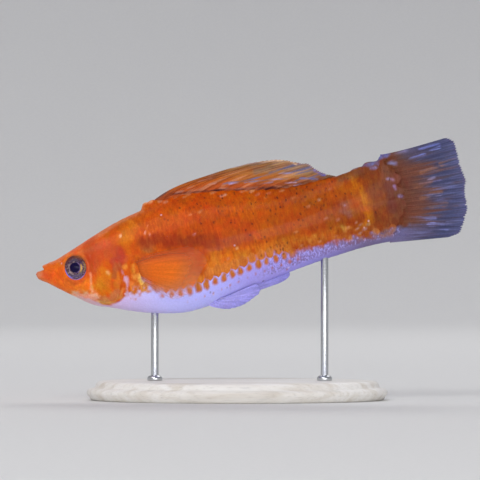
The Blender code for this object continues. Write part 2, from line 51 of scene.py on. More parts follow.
BACK_LINE = [
    (0, 0), (0.35, 0.3), (0.9, 0.48), (1.5, 0.85), (1.9, 1.45), (2.8, 1.85), (4.4, 2.12), (6.6, 2.85),
    (9.3, 3.86), (13.5, 5.5), (18.9, 7.3), (24.0, 8.45), (29.0, 9.2), (33.0, 9.4), (38.5, 8.95),
    (47.5, 7.4), (53.5, 6.45), (58.0, 6.35), (64.0, 6.9), (70.4, 7.85), (75.0, 8.65), (80.0, 9.2),
]
BELLY_LINE = [
    (0, 0), (0.15, -0.65), (0.7, -1.35), (1.8, -2.15), (3.9, -3.86), (7.1, -6.4), (10.4, -8.75),
    (13.9, -10.1), (18.6, -11.83), (24.0, -13.4), (30.0, -14.15), (34.0, -13.75), (38.0, -12.95),
    (42.0, -12.05), (47.5, -11.1), (54.4, -10.0), (60.9, -9.2), (68.6, -8.6), (75.0, -8.7), (80.0, -9.0),
]
HALF_WIDTH_LINE = [
    (0, 0.15), (0.25, 0.95), (0.9, 1.6), (1.8, 2.05), (3.6, 2.75), (5.5, 3.6), (8.3, 4.85), (11.5, 5.45),
    (17.0, 6.3), (24.0, 6.8), (30.0, 6.7), (38.0, 5.9), (48.0, 4.65), (58.0, 3.45), (68.0, 2.2),
    (74.0, 1.35), (77.0, 0.9), (80.0, 0.6),
]
WIDEST_SHARE = [(0, 0.5), (3, 0.5), (8.3, 0.5), (14, 0.46), (24, 0.44), (40, 0.47), (60, 0.5), (80, 0.5)]
CROWN_SQUARENESS = [(0, 2.2), (3, 2.5), (8.3, 2.9), (15, 2.4), (26, 1.95), (55, 1.9), (72, 2.2), (80, 2.6)]
KEEL_SQUARENESS = [(0, 2.2), (8.3, 2.1), (20, 2.25), (34, 2.1), (46, 1.9), (62, 1.9), (72, 2.2), (80, 2.6)]
# The skin lies this far inside the solids, under the coat of scales.
SKIN_DEPTH = 0.1


def profile(points):
    """A smooth curve through given points."""
    at, value = np.array(points, float).T
    step = np.diff(at)
    rise = np.diff(value) / step
    inner = (rise[:-1] * step[1:] + rise[1:] * step[:-1]) / (step[:-1] + step[1:])
    slope = np.concatenate([rise[:1], inner, rise[-1:]])

    def curve(x):
        x = np.clip(x, at[0], at[-1])
        i = np.clip(np.searchsorted(at, x, side="right") - 1, 0, len(at) - 2)
        t = (x - at[i]) / step[i]
        start = (2 * t**3 - 3 * t**2 + 1) * value[i] + (t**3 - 2 * t**2 + t) * step[i] * slope[i]
        return start + (3 * t**2 - 2 * t**3) * value[i + 1] + (t**3 - t**2) * step[i] * slope[i + 1]

    return curve


back = profile(BACK_LINE)
belly = profile(BELLY_LINE)
half_width = profile(HALF_WIDTH_LINE)
widest = profile(WIDEST_SHARE)
crown = profile(CROWN_SQUARENESS)
keel = profile(KEEL_SQUARENESS)


def body_form(x, angle):
    """The bare body at a distance behind the jaw's tip. Angle 0 is the back, and a half turn the belly."""
    depth = SKIN_DEPTH * np.minimum(np.maximum(x, 0) / 2, 1)
    top, bottom = back(x) - depth, belly(x) + depth
    middle = bottom + (top - bottom) * widest(x)
    up, out = np.cos(angle), np.sin(angle)
    power = 2 / np.where(up > 0, crown(x), keel(x))
    height = np.where(up > 0, top - middle, middle - bottom)
    side = np.maximum(half_width(x) - depth, 0.1)
    across = side * np.sign(out) * np.abs(out) ** power
    return np.stack([x, across, middle + height * np.sign(up) * np.abs(up) ** power], -1)


def to_world(points):
    """Points of the level fish, in millimetres, tipped nose down over the stand, in metres."""
    x, y, z = np.moveaxis(points, -1, 0)
    c, s = math.cos(NOSE_DOWN), math.sin(NOSE_DOWN)
    return (np.stack([x * c - z * s, y, x * s + z * c], -1) + JAW_TIP) * MM


# Relief of the skin
# Lips, mouth, nostrils, orbits, gill covers and folds, as raised and sunk places of the one hide. A museum
# maker models them into the cast, from the fish itself.
# The left eye: its centre, its half sizes across, up and out, and how far it is turned forward and up.
EYE_CENTRE = np.array((8.58, -3.3, -0.44))
EYE_RADII = np.array((2.56, 2.88, 2.05))
EYE_FORWARD = math.radians(6.5)
EYE_UP = math.radians(5)
# Share of the eyeball's radius at which the skin closes round it.
EYE_OPENING = 0.88
# The mouth and the lips run round the snout. The other lines lie on the side view.
MOUTH_LINE = [(1.42, 0.0, 0.78), (1.5, 0.8, 0.74), (1.85, 1.45, 0.55), (2.5, 2.0, 0.3), (3.1, 2.35, 0.1)]
UPPER_LIP = [(1.8, 0, 1.35), (1.9, 0.9, 1.25), (2.4, 1.65, 0.85), (3.1, 2.25, 0.45), (3.75, 2.65, 0.15)]
LOWER_LIP = [(0.5, 0, 0.15), (0.8, 0.8, 0.1), (1.4, 1.5, 0.0), (2.3, 2.05, -0.25), (3.3, 2.5, -0.6)]
JAW_FOLD = [(3.75, 0.0), (4.4, -0.9), (4.9, -2.1), (5.4, -3.6)]
SNOUT_FOLD = [(3.9, 0.5), (3.7, 1.2), (3.5, 1.8)]
NOSTRILS = [(4.3, 1.45), (5.7, 1.75)]
NOSTRIL_RADIUS = 0.24
GILL_COVER_OUTLINE = [
    (11.5, 0.4), (14.2, 0.5), (16.4, -0.5), (17.4, -2.2), (17.3, -4.4), (16.8, -6.7), (15.7, -8.4),
    (14.0, -9.0), (12.2, -8.4), (11.1, -6.6), (10.8, -4.2), (11.1, -1.6),
]
CHEEK_FOLD = [(12.1, 1.3), (11.7, -0.6), (11.35, -2.9), (11.0, -4.8), (9.9, -6.3), (7.8, -6.0), (6.3, -5.0)]
CHEEK = [(9.6, -3.6), (8.0, -4.4)]
GILL_FOLDS = [
    [(8.2, -6.9), (10.6, -8.3), (13.2, -9.5), (15.6, -9.5), (17.2, -8.3)],
    [(9.0, -7.6), (11.4, -9.0), (13.6, -10.0), (15.8, -10.2)],
]
SIDE_GROOVE = [(19.0, 2.2), (26.0, 0.9), (34.0, -0.9), (44.0, -1.9), (54.0, -1.7), (64.0, -0.6), (74.0, 0.4)]
BREAST_FIN_LOBE = [(20.5, -2.3), (20.7, -3.6), (21.1, -4.9)]
# Folds and swellings of the head's side: path, height, reach, and how far out from the middle they begin.
HEAD_FOLDS = [
    (CHEEK_FOLD, -0.15, 0.3, 0), (CHEEK, 0.12, 1.3, 0), (JAW_FOLD, -0.11, 0.24, 0),
    (SNOUT_FOLD, -0.09, 0.22, 0.8), (BREAST_FIN_LOBE, 0.75, 0.85, 2),
]
# Where the relief of the head ends.
HEAD_END = 24
SAIL_FOOT = (24.4, 61.2)
# Where the knob of the first spines begins, stands full and ends, and its height.
SAIL_KNOB = (23.7, 24.8, 26.2, 29.5, 0.8)
# Knobs along the upper edge of the tail stalk: place and height.
TAIL_KNOBS = [(68.6, 0.25), (71.2, 0.5), (74.6, 0.62)]


def ease(value, low, high):
    """Rises smoothly from 0 at the low value to 1 at the high one."""
    t = np.clip((value - low) / (high - low), 0, 1)
    return t * t * (3 - 2 * t)


def hump(distance, reach):
    """A soft rise: 1 at no distance, about a third at its reach, and next to nothing beyond twice that."""
    return np.exp(-((distance / reach) ** 2))


def soft_noise(points, size, seed):
    """Smooth lumps of about this size, from -1 to 1, the same each time for one seed."""
    place = points / size + seed * 17.3
    cell = np.floor(place)
    part = place - cell
    part = part * part * (3 - 2 * part)
    total = np.zeros(points.shape[:-1])
    for corner in np.ndindex(2, 2, 2):
        hashed = np.sin((cell + corner) @ np.array((127.1, 311.7, 74.7))) * 43758.5453
        total += (hashed - np.floor(hashed)) * np.prod(np.where(corner, part, 1 - part), -1)
    return total * 2 - 1


def path_distance(points, path):
    """How far each point is from a path of straight pieces, or from its only point."""
    path = np.atleast_2d(np.array(path, float))
    best = np.linalg.norm(points - path[0], axis=-1)
    for start, end in zip(path, path[1:]):
        way = end - start
        share = np.clip((points - start) @ way / (way @ way), 0, 1)
        best = np.minimum(best, np.linalg.norm(points - start - share[..., None] * way, axis=-1))
    return best


def unit(vector):
    return np.asarray(vector) / np.linalg.norm(vector)


eye_out = unit((-math.sin(EYE_FORWARD), -math.cos(EYE_FORWARD) * math.cos(EYE_UP), math.sin(EYE_UP)))
eye_up = unit(np.array((0, 0, 1)) - eye_out * eye_out[2])
eye_rear = np.cross(eye_up, eye_out)


def rounded(outline, times=3):
    """A closed outline with its corners cut until it is smooth."""
    ring = np.array(outline, float)
    for _ in range(times):
        after = np.roll(ring, -1, axis=0)
        ring = np.stack([ring * 0.75 + after * 0.25, ring * 0.25 + after * 0.75], 1).reshape(-1, 2)
    return ring


def depth_inside(points, outline):
    """How far inside a closed outline each point is, negative outside it."""
    x, z = points[..., 0], points[..., 1]
    within = np.zeros(x.shape, bool)
    for (x1, z1), (x2, z2) in zip(outline, np.roll(outline, -1, axis=0)):
        between = (z1 > z) != (z2 > z)
        within ^= between & (x < x1 + (x2 - x1) * (z - z1) / np.where(between, z2 - z1, 1))
    away = path_distance(points, np.vstack([outline, outline[:1]]))
    return np.where(within, away, -away)


gill_outline = rounded(GILL_COVER_OUTLINE)


def relief(points):
    """How far the modelled skin stands out from the bare form, in millimetres."""
    x, z = points[..., 0], points[..., 2]
    side = np.abs(points[..., 1])
    flat = np.stack([x, z], -1)
    half = np.stack([x, side, z], -1)
    height = 0.012 * soft_noise(points, 0.7, 3) + 0.03 * soft_noise(points, 3.5, 4)
    head = x < HEAD_END
    f, h = flat[head], half[head]
    # The gill cover, with ridges that fan out over it and a gap behind its edge.
    inward = depth_inside(f, gill_outline)
    rear = ease(0.8 * f[:, 0] - 0.35 * f[:, 1], 10.3, 14.0)
    fan = np.arctan2(f[:, 1] - 1.2, f[:, 0] - 11.0)
    rear *= ease(-f[:, 1], -0.6, 2.0)
    cover = 0.3 * rear * ease(inward, -0.08, 0.2) * (0.6 + 0.4 * np.exp(-np.maximum(inward, 0) / 2.5))
    cover += 0.03 * np.sin(fan * 26 + 2 * soft_noise(h, 1.5, 5)) * ease(inward, 0.1, 1.2)
    cover -= 0.2 * rear * hump(inward + 0.3, 0.26)
    added = np.where(h[:, 1] > 1.2, cover, 0)
    # Folds and swellings of the side, folds of the throat, lips and nostrils.
    for path, rise, reach, from_middle in HEAD_FOLDS:
        added += rise * hump(path_distance(f, path), reach) * (h[:, 1] >= from_middle)
    for fold in GILL_FOLDS:
        added -= 0.13 * hump(path_distance(f, fold), 0.24) * ease(h[:, 1], 0.3, 1.0)
    added -= 0.16 * hump(h[:, 1], 0.3) * ease(h[:, 0], 4.5, 7) * (1 - ease(h[:, 0], 13, 17)) * (f[:, 1] < -2)
    for lip, rise in ((UPPER_LIP, 0.22), (LOWER_LIP, 0.15)):
        added += rise * hump(path_distance(h, lip), 0.34)
    for nostril in NOSTRILS:
        away = path_distance(f, [nostril])
        added += 0.07 * hump(away - NOSTRIL_RADIUS * 1.35, 0.12) - 0.34 * hump(away, NOSTRIL_RADIUS * 0.75)
    height[head] += added
    # The groove along the side, the raised foot of the sail with its knob, and the knobs of the tail stalk.
    height -= 0.03 * hump(path_distance(flat, SIDE_GROOVE), 0.9) * ease(x, 19, 24)
    foot = ease(x, SAIL_FOOT[0] - 0.6, SAIL_FOOT[0] + 1) * (1 - ease(x, SAIL_FOOT[1], SAIL_FOOT[1] + 4))
    height += (0.42 + 0.08 * np.sin(x * 3.1)) * foot * hump(side, 0.85) * (z > 0)
    rise, full, fall, end, tall = SAIL_KNOB
    height += tall * ease(x, rise, full) * (1 - ease(x, fall, end)) * hump(side, 0.75) * (z > 0)
    for place, tall in TAIL_KNOBS:
        past = x - place
        height += tall * ease(past, -0.9, -0.1) * (1 - ease(past, 0.3, 2.4)) * hump(side, 0.8) * (z > 0)
    return height


def seat_eye(points):
    """The skin drawn round the eye: a low rim outside its opening, and out of sight behind the ball."""
    mirror = (1, 0, 1) + np.where(points[:, 1:2] > 0, -1.0, 1.0) * (0, 1, 0)
    moved = points * mirror
    near = np.linalg.norm(moved - EYE_CENTRE, axis=-1) < 6
    local = moved[near] - EYE_CENTRE
    across, up, out = local @ eye_rear, local @ eye_up, local @ eye_out
    share = np.hypot(across / EYE_RADII[0], up / EYE_RADII[1])
    ball = EYE_RADII[2] * np.sqrt(1 - np.minimum(share, 1) ** 2)
    opening = EYE_RADII[2] * math.sqrt(1 - EYE_OPENING**2)
    inside = ball - 0.5 * ease(EYE_OPENING - share, 0, 0.12)
    rim = opening + 0.16 * hump(share - 1.0, 0.1) - 0.05 * hump(share - 1.22, 0.1)
    hold = 1 - ease(share, 0.98, 1.5)
    wanted = np.where(share < EYE_OPENING, inside, out + (rim - out) * hold)
    wanted = np.where(out > -0.5, wanted, out)
    moved[near] += (wanted - out)[:, None] * eye_out
    return moved * mirror


def open_mouth(points):
    """The gape between the lips, drawn back into the head along the line of the mouth."""
    half = points * (1, 0, 1) + np.abs(points) * (0, 1, 0)
    away = path_distance(half, MOUTH_LINE)
    throat = np.array((5.2, 0, 0.4))
    inward = throat - points * (1, 0.75, 1)
    inward /= np.linalg.norm(inward, axis=-1, keepdims=True)
    depth = 0.12 + 0.62 * (1 - ease(half[:, 1], 0.5, 2.0))
    return points + inward * (depth * hump(away, 0.22))[:, None]


def skin_point(x, angle, lift=0.0):
    """The modelled skin, or a point this far outside it, and the direction straight out of it."""
    step = 0.02
    base = body_form(x, angle)
    along = body_form(x + step, angle) - body_form(x - step, angle)
    around = body_form(x, angle + step) - body_form(x, angle - step)
    out = np.cross(along, around)
    out /= np.maximum(np.linalg.norm(out, axis=-1, keepdims=True), 1e-9)
    return base + out * (relief(base) + lift)[..., None], out


# Markings
# Orange over red, fading to a lilac white belly, with a brown band, a golden nape and gill cover, and
# pearly flecks. They are airbrushed in layers over the cast, and run on over skin and scales alike.
# The flank's paint from the jaw's tip back. It darkens towards the tail partly as the stalk's own browner
# colour and partly as painted shade, where the light falls off from head to tail.
FLANK_COLOURS = [
    (0, "#D8683A"), (3, "#E26A1E"), (8, "#DE6412"), (12, "#D45810"), (17, "#CC560C"), (24, "#C85206"),
    (31, "#C04C02"), (38, "#BC4A02"), (46, "#BA5204"), (54, "#AA4604"), (62, "#9A4204"), (68, "#8C3C06"),
    (72, "#843A10"), (75, "#74381C"), (80, "#643C30"),
]
# The belly's paint. Its lilac white is pushed paler than its own colour, as painted light on the shaded
# underside. It darkens towards the tail partly in its own colour and partly as painted shade, where the light
# falls off from head to tail.
BELLY_COLOURS = [
    (6, "#E4AE9C"), (9, "#E4B4B4"), (12, "#DCB8D0"), (16, "#DCC2E8"), (25, "#CAC6FF"), (35, "#BEBCFF"),
    (43, "#AEA2EA"), (50, "#A498E4"), (56, "#988ED2"), (62, "#887CB4"), (68, "#746686"), (75, "#6C668C"),
    (80, "#68628A"),
]
# Height of the edge between the orange flank and the pale belly.
PALE_EDGE = [
    (0, -9.0), (5.0, -6.4), (7.6, -6.1), (9.9, -7.0), (12.2, -8.7), (14.2, -9.4), (16.2, -8.9),
    (18.2, -8.0), (20.1, -8.1), (22.6, -7.9), (24.6, -9.0), (27.5, -9.6), (31.3, -9.6), (34.7, -8.3),
    (39, -7.8), (43.4, -6.9), (47.8, -6.4), (51.9, -6.9), (54.3, -6.7), (58.6, -6.5), (64.8, -6.2),
    (69, -6.5), (73.2, -6.8), (80, -6.8),
]
# Each marking: its path on the side view, how far its full colour reaches, how far it fades, its colour
# and how strongly it covers.
MARKINGS = [
    ([(0.3, -0.2), (1.6, -0.9)], 0.4, 1.0, "#DC7C62", 0.6),
    ([(2.2, 1.4), (2.6, 0.9)], 0.3, 0.7, "#EE8430", 0.7),
    # A lighter stroke along the lower jaw: painted light, lifting the shade under the jaw.
    ([(1.2, -1.2), (3.0, -2.0), (5.0, -3.3), (7.0, -4.9)], 0.3, 0.9, "#EC7232", 0.65),
    ([(4.2, 0.5), (5.6, -1.5)], 1.5, 1.6, "#DE5E14", 0.8),
    ([(6.0, -3.2), (7.5, -4.2), (9.6, -4.2)], 0.8, 1.6, "#EE741C", 0.85),
    # A pinkish line along the top of the snout, head and nape: a painted highlight where the light catches
    # the outline.
    ([(2.4, 1.9), (5.0, 2.3), (7.8, 3.3), (12.8, 4.9), (17.3, 6.5), (21.1, 7.8), (24.2, 8.5)], 0.25, 0.8,
     "#E08A68", 0.6),
    ([(9.5, 3.2), (12.5, 3.4), (15.0, 3.0)], 0.8, 1.6, "#DC6232", 0.7),
    ([(12.4, 1.6), (12.5, 0.0), (12.0, -1.2)], 0.5, 1.6, "#BC4420", 0.8),
    ([(12.5, 2.8), (14.5, 1.4), (16.2, 0.6)], 1.0, 1.6, "#BC481C", 0.65),
    # A darker red patch at the mouth's corner: painted shade in the fold of the jaw's joint.
    ([(2.0, -0.4), (2.7, -1.0)], 0.2, 0.8, "#D04A1C", 0.6),
    # A darker red arc just under the eye: painted shade below the eyeball.
    ([(6.4, -2.6), (8.2, -3.4), (10.2, -2.4)], 0.15, 0.8, "#C44C1C", 0.7),
    ([(17.6, 1.0), (17.8, 0.0), (17.2, -1.2)], 0.6, 1.4, "#B03826", 0.85),
    ([(14.0, 1.8), (16.5, 1.4)], 0.6, 1.5, "#C65026", 0.6),
    ([(25.0, 6.6), (28.5, 5.4), (33.0, 5.2)], 0.8, 2.2, "#CC5606", 0.6),
    ([(20.4, 5.2), (19.8, 3.4)], 0.5, 1.8, "#D06A06", 0.75),
    ([(21.4, 6.3), (22.6, 5.4)], 0.1, 1.0, "#D8701A", 0.6),
    ([(18.9, 4.25), (18.9, 4.0)], 0.05, 0.42, "#F4CCB4", 0.75),
    ([(24.6, 5.0), (24.5, 4.5)], 0.05, 0.26, "#E8B0A0", 0.7),
    ([(24.0, 4.0), (23.9, 3.5)], 0.06, 0.28, "#EBBCB0", 0.8),
    ([(24.8, 3.3), (24.7, 2.7)], 0.05, 0.26, "#D8A8A8", 0.7),
    ([(11.2, -2.3), (11.15, -3.3), (10.95, -4.2)], 0.02, 0.42, "#E8A084", 0.6),
    ([(10.9, -4.9), (10.75, -5.9)], 0.02, 0.5, "#E8A68C", 0.55),
    ([(14.1, -2.8), (13.1, -5.0), (13.3, -6.5)], 0.6, 1.6, "#D27410", 0.85),
    ([(16.6, -3.7), (16.5, -4.9), (16.0, -5.8)], 0.2, 0.9, "#CE701A", 0.8),
    ([(16.2, -2.4), (15.9, -3.9)], 0.12, 0.5, "#A65026", 0.7),
    ([(17.0, -1.7)], 0.4, 0.9, "#B4622C", 0.7),
    ([(14.8, -2.6)], 0.25, 0.5, "#ECB084", 0.6),
    ([(12.5, -8.1), (14.2, -8.1), (15.8, -7.4)], 0.5, 0.9, "#C47C48", 0.9),
    ([(11.2, -8.0), (12.8, -8.9), (14.7, -8.9), (16.3, -8.0), (17.1, -6.6)], 0.12, 0.35, "#DE8E40", 0.85),
    ([(7.2, -6.0), (9.2, -6.5), (11.0, -7.0)], 0.3, 1.2, "#E8AC94", 0.85),
    ([(17.8, -3.2), (18.0, -4.3)], 0.03, 0.4, "#C48CA4", 0.75),
    ([(18.25, -4.4), (18.2, -6.1), (17.8, -7.7), (17.4, -8.8)], 0.04, 0.6, "#CCA0C4", 0.85),
    ([(18.5, -2.3)], 0.3, 0.5, "#E49834", 0.8),
    ([(20.2, -2.3), (20.1, -3.7)], 0.15, 0.6, "#EC9C38", 0.7),
    # A yellow streak behind the breast fin's root: its own colour, painted brighter as painted light to
    # cancel the fin's shadow on the flank.
    ([(20.4, -4.6), (21.2, -5.8), (21.4, -6.9), (20.9, -7.7)], 0.25, 1.0, "#F6A848", 1.0),
    ([(18.9, -7.1), (19.2, -6.0)], 0.15, 0.7, "#E69038", 0.8),
    ([(20.3, -6.9), (19.8, -8.2)], 0.12, 0.35, "#D6B4DC", 0.8),
    ([(22.3, -5.4), (23.2, -7.2), (24.6, -8.2)], 0.35, 0.9, "#C8A8D4", 0.85),
    ([(24.3, 1.4), (24.0, 0.6)], 0.5, 1.5, "#A8643A", 0.65),
    ([(36.5, -4.6), (38.5, -5.0), (43.0, -4.6)], 1.0, 2.0, "#CE660C", 0.9),
    ([(37.2, -5.2), (36.1, -7.0), (39.6, -6.6)], 0.8, 1.8, "#DA7A20", 0.9),
    ([(28.0, 2.2), (33.0, 1.4), (38.0, 0.8), (44.0, 0.4)], 0.8, 2.8, "#B4440C", 0.65),
    ([(23.8, 2.0), (27.0, 1.6), (31.0, 0.6), (34.1, -0.5), (37.0, -1.2)], 0.2, 2.1, "#92300E", 0.78),
    ([(36.5, -1.2), (40.4, -1.6), (43.6, -1.8)], 0.1, 2.2, "#A03A0C", 0.6),
    ([(29.0, -8.2), (33.5, -8.4)], 0.6, 1.6, "#DC7420", 0.8),
    ([(42.5, -5.6), (47.0, -5.6), (51.0, -5.2)], 0.8, 1.8, "#CC7820", 0.6),
    ([(52.0, -4.2), (56.0, -4.6), (62.0, -4.2)], 0.1, 1.4, "#C67018", 0.5),
    ([(60.0, 4.6), (64.0, 4.9), (66.8, 3.0), (67.6, 0.5)], 0.8, 2.4, "#AC4C04", 0.7),
    ([(67.2, 6.8), (68.8, 3.6), (69.6, 1.0), (69.7, -1.4), (69.6, -3.0)], 0.35, 1.3, "#B66204", 0.85),
    ([(65.5, 6.8), (71.0, 7.2), (76.0, 8.2)], 0.1, 1.9, "#6A3A24", 0.65),
    ([(65.2, 1.0), (65.2, -0.4), (65.8, -1.6)], 0.1, 1.5, "#8C5048", 0.7),
    ([(72.0, -7.2), (75.0, -7.6), (78.5, -7.4)], 0.7, 1.3, "#665E84", 0.9),
    ([(60.3, 2.9)], 0.02, 0.4, "#C89890", 0.55),
    ([(65.1, 0.7)], 0.05, 0.35, "#A88898", 0.7),
    ([(72.4, 3.5), (72.9, 0.2), (71.9, -2.7)], 0.8, 1.3, "#803A10", 0.8),
    ([(75.0, 2.9), (75.0, 0.2), (74.6, -2.4)], 0.4, 0.9, "#6A3022", 0.85),
    ([(75.1, 4.2), (76.0, 3.8)], 0.0, 0.6, "#9882B8", 0.75),
    ([(76.0, 2.5), (76.2, 1.7)], 0.0, 0.45, "#9078B0", 0.8),
    ([(76.6, 0.15), (77.2, 0.0)], 0.0, 0.6, "#9480B4", 0.75),
    ([(76.4, 7.4), (77.0, 6.9)], 0.05, 0.7, "#8C86BC", 0.75),
    ([(72.2, 7.1), (73.0, 6.9)], 0.05, 0.6, "#867EB0", 0.75),
    ([(70.6, 8.0), (72.0, 7.9), (74.4, 8.7)], 0.25, 0.6, "#6C6698", 0.85),
    ([(73.2, 9.0), (75.8, 9.2)], 0.3, 0.6, "#6E6EA8", 0.9),
    ([(68.0, 7.7), (69.2, 7.9)], 0.15, 0.5, "#9088A8", 0.75),
    ([(24.3, 9.5), (25.2, 10.0), (26.4, 9.9)], 0.08, 0.4, "#E4A884", 0.75),
    ([(10.75, 0.7), (9.8, 1.9), (8.6, 2.25), (7.4, 1.9), (6.4, 0.7)], 0.06, 0.34, "#A85A30", 0.6),
    ([(65.1, -6.1)], 0.3, 0.5, "#A4703C", 0.8),
    ([(66.9, -6.8)], 0.3, 0.5, "#9C6C40", 0.8),
    ([(63.6, -3.5), (64.2, -4.2)], 0.25, 0.6, "#AC6E30", 0.7),
    ([(70.4, -6.0)], 0.4, 0.8, "#A0683C", 0.7),
]
# Pearly dashes along the foot of the sail and pale dots on the flank: place, length and colour.
PEARLS = [
    (27.9, 9.4, 0.5, "#C8988C"), (28.9, 9.0, 0.6, "#C89088"), (31.2, 9.5, 0.6, "#D09888"),
    (33.0, 9.25, 0.7, "#D49C88"), (34.1, 9.45, 0.4, "#D8A090"), (38.9, 8.9, 0.8, "#D49C8C"),
    (40.6, 7.8, 1.0, "#D8A8B0"), (45.0, 7.8, 1.0, "#D8A8A8"), (46.8, 7.45, 0.8, "#DCA898"),
    (47.9, 6.6, 0.5, "#CC8878"), (49.9, 6.3, 0.6, "#CC8878"), (52.8, 6.3, 0.7, "#D09480"),
    (33.6, 5.3, 0.25, "#D08868"), (35.7, 5.5, 0.25, "#D08868"), (33.6, 1.3, 0.3, "#B87890"),
    (39.3, -5.1, 0.3, "#C08088"), (49.5, 5.6, 0.4, "#C87848"), (41.5, -3.4, 0.25, "#F0B88C"),
    (57.5, 2.0, 0.4, "#C07860"), (62.6, 4.6, 0.4, "#C07050"), (55.0, 4.4, 0.4, "#C06A40"),
    (60.6, -1.2, 0.4, "#BC7468"), (54.0, -2.6, 0.4, "#C88058"), (63.0, -2.0, 0.4, "#B07068"),
    (66.6, -3.3, 0.2, "#B08C94"), (67.4, -3.9, 0.3, "#A88CA0"), (66.5, -4.6, 0.4, "#AC90A8"),
    (68.0, -5.0, 0.5, "#9C84A4"), (67.0, -5.6, 0.3, "#A48CA8"), (69.0, -4.2, 0.2, "#A0887C"),
    (64.8, -3.9, 0.3, "#B08484"), (58.4, -5.6, 0.3, "#C0947C"), (54.6, -5.6, 0.4, "#C89478"),
    (62.0, -5.2, 0.3, "#B88C80"),
]
MARKINGS += [([(x, z), (x + length, z + 0.1)], 0.02, 0.42, code, 0.58) for x, z, length, code in PEARLS]


def srgb(code):
    return np.array([int(code[i : i + 2], 16) / 255 for i in (1, 3, 5)])


def colour_along(x, stops):
    """The paint at each place, mixed between stops of place and hex code."""
    at = [stop[0] for stop in stops]
    colours = np.array([srgb(stop[1]) for stop in stops])
    return np.stack([np.interp(x, at, colours[:, channel]) for channel in range(3)], -1)


def blend(colour, code, share):
    """A colour moved this share of the way towards a paint."""
    return colour + (srgb(code) - colour) * share[..., None]


def strokes(colour, points, markings, broken=1.0):
    """Lays markings over a colour, in order, with edges that wander. Broken weakens them in places."""
    flat = points[..., (0, 2)]
    wander = soft_noise(points, 1.1, 8) + 0.5 * soft_noise(points, 0.45, 9)
    for path, reach, fade, code, strength in markings:
        away = path_distance(flat, path) + 0.45 * fade * wander
        colour = blend(colour, code, strength * broken * (1 - ease(away, reach, reach + fade)))
    return colour


pale_edge = profile(PALE_EDGE)


def flank_paint(points):
    """The orange paint of head and flanks, a little uneven in lightness and hue."""
    colour = strokes(colour_along(points[..., 0], FLANK_COLOURS), points, MARKINGS)
    x, z = points[..., 0], points[..., 2]
    # Golden patches lie low on the rear of the flank.
    golden = ease(soft_noise(points * (1.3, 1, 1), 0.9, 18), -0.1, 0.6)
    golden *= hump(z - np.interp(x, (50, 66), (-4.9, -4.4)), 1.1) * ease(x, 47, 52) * (1 - ease(x, 67, 71))
    colour = blend(colour, "#CC8C36", 0.5 * golden)
    light = 1 + 0.04 * soft_noise(points, 2.6, 19) + 0.03 * soft_noise(points, 1.1, 20)
    hue = 0.08 * soft_noise(points, 1.9, 22) + 0.09 * soft_noise(points * (1.6, 1, 0.8), 0.7, 23)
    return np.clip(colour * light[..., None] * (1 + hue[..., None] * (-0.15, 1, 1)), 0, 1)


def below_edge(points):
    """How far a point lies below the edge of the orange, in millimetres, with the edge's own wander."""
    wander = 0.35 * soft_noise(points, 2.2, 11) + 0.18 * soft_noise(points, 0.8, 12)
    ragged = 0.8 * soft_noise(points, 1.3, 15) + 0.5 * soft_noise(points, 0.5, 16)
    wander += ease(points[..., 0], 50, 58) * ragged
    return pale_edge(points[..., 0]) - points[..., 2] + wander


# Skin of the body
# One unbroken wet hide over head, jaw, gill covers, trunk and tail stalk. On a museum model it is cast in
# resin, painted and varnished. It closes into a thin wedge round the roots of the tail fin.
SKIN_SIDES = 240
# Distance between rings of points along the body, from the jaw's tip on.
RING_SPACING = [
    (0, 0.03), (1.4, 0.045), (2.0, 0.05), (6.5, 0.075), (12, 0.11), (18, 0.13), (28, 0.14), (29, 0.3),
    (79, 0.36),
]
# Where the skin ends over the tail fin's roots: height, and distance behind the jaw's tip.
TAIL_EDGE = [
    (-11.5, 72.6), (-7.8, 74.1), (-5, 75.8), (-1.7, 76.9), (1.2, 77.3), (4.7, 76.6), (7.5, 75.3),
    (11.5, 74.4),
]
SKIN_END = 78.4
# Length over which the end of the skin thins to nothing, and where the rings begin to follow its edge.
TAIL_WEDGE = 2.6
WARP_FROM = 62.0
tail_edge = profile(TAIL_EDGE)


def ring_faces(index, start=None, end=None):
    """Faces between rings of points, closed by a fan on a start point and on an end point."""
    after = np.roll(index, -1, axis=1)
    faces = [] if start is None else [(start, int(a), int(b)) for a, b in zip(index[0], after[0])]
    faces += np.stack([index[:-1], index[1:], after[1:], after[:-1]], -1).reshape(-1, 4).tolist()
    if end is not None:
        faces += [(end, int(b), int(a)) for a, b in zip(index[-1], after[-1])]
    return faces


def new_object(name, points, faces):
    """A smooth mesh from points in metres."""
    mesh = bpy.data.meshes.new(name)
    mesh.from_pydata(np.asarray(points).tolist(), [], faces)
    mesh.shade_smooth()
    made = bpy.data.objects.new(name, mesh)
    bpy.context.scene.collection.objects.link(made)
    return made


def make_piece(name, points, faces, marks):
    """A mesh from points in the fish's own millimetres, with the marks that its material reads."""
    made = new_object(name, to_world(points), faces)
    forms = {1: ("FLOAT", "value"), 3: ("FLOAT_VECTOR", "vector"), 4: ("FLOAT_COLOR", "color")}
    for mark, values in marks.items():
        values = np.asarray(values, np.float32)
        kind, field = forms[1 if values.ndim == 1 else values.shape[-1]]
        layer = made.data.attributes.new(mark, kind, "POINT")
        layer.data.foreach_set(field, values.ravel())
    return made


def linear(colour):
    """A paint's sRGB hex code, or its sRGB shares, as the linear light that the shader wants."""
    shares = srgb(colour) if isinstance(colour, str) else np.asarray(colour)
    return np.where(shares <= 0.04045, shares / 12.92, ((np.maximum(shares, 0) + 0.055) / 1.055) ** 2.4)


def rgba(colour):
    return np.concatenate([linear(colour), np.ones((*colour.shape[:-1], 1))], -1)


def new_material(name):
    material = bpy.data.materials.new(name)
    material.use_nodes = True
    tree = material.node_tree
    return material, tree, tree.nodes["Principled BSDF"]


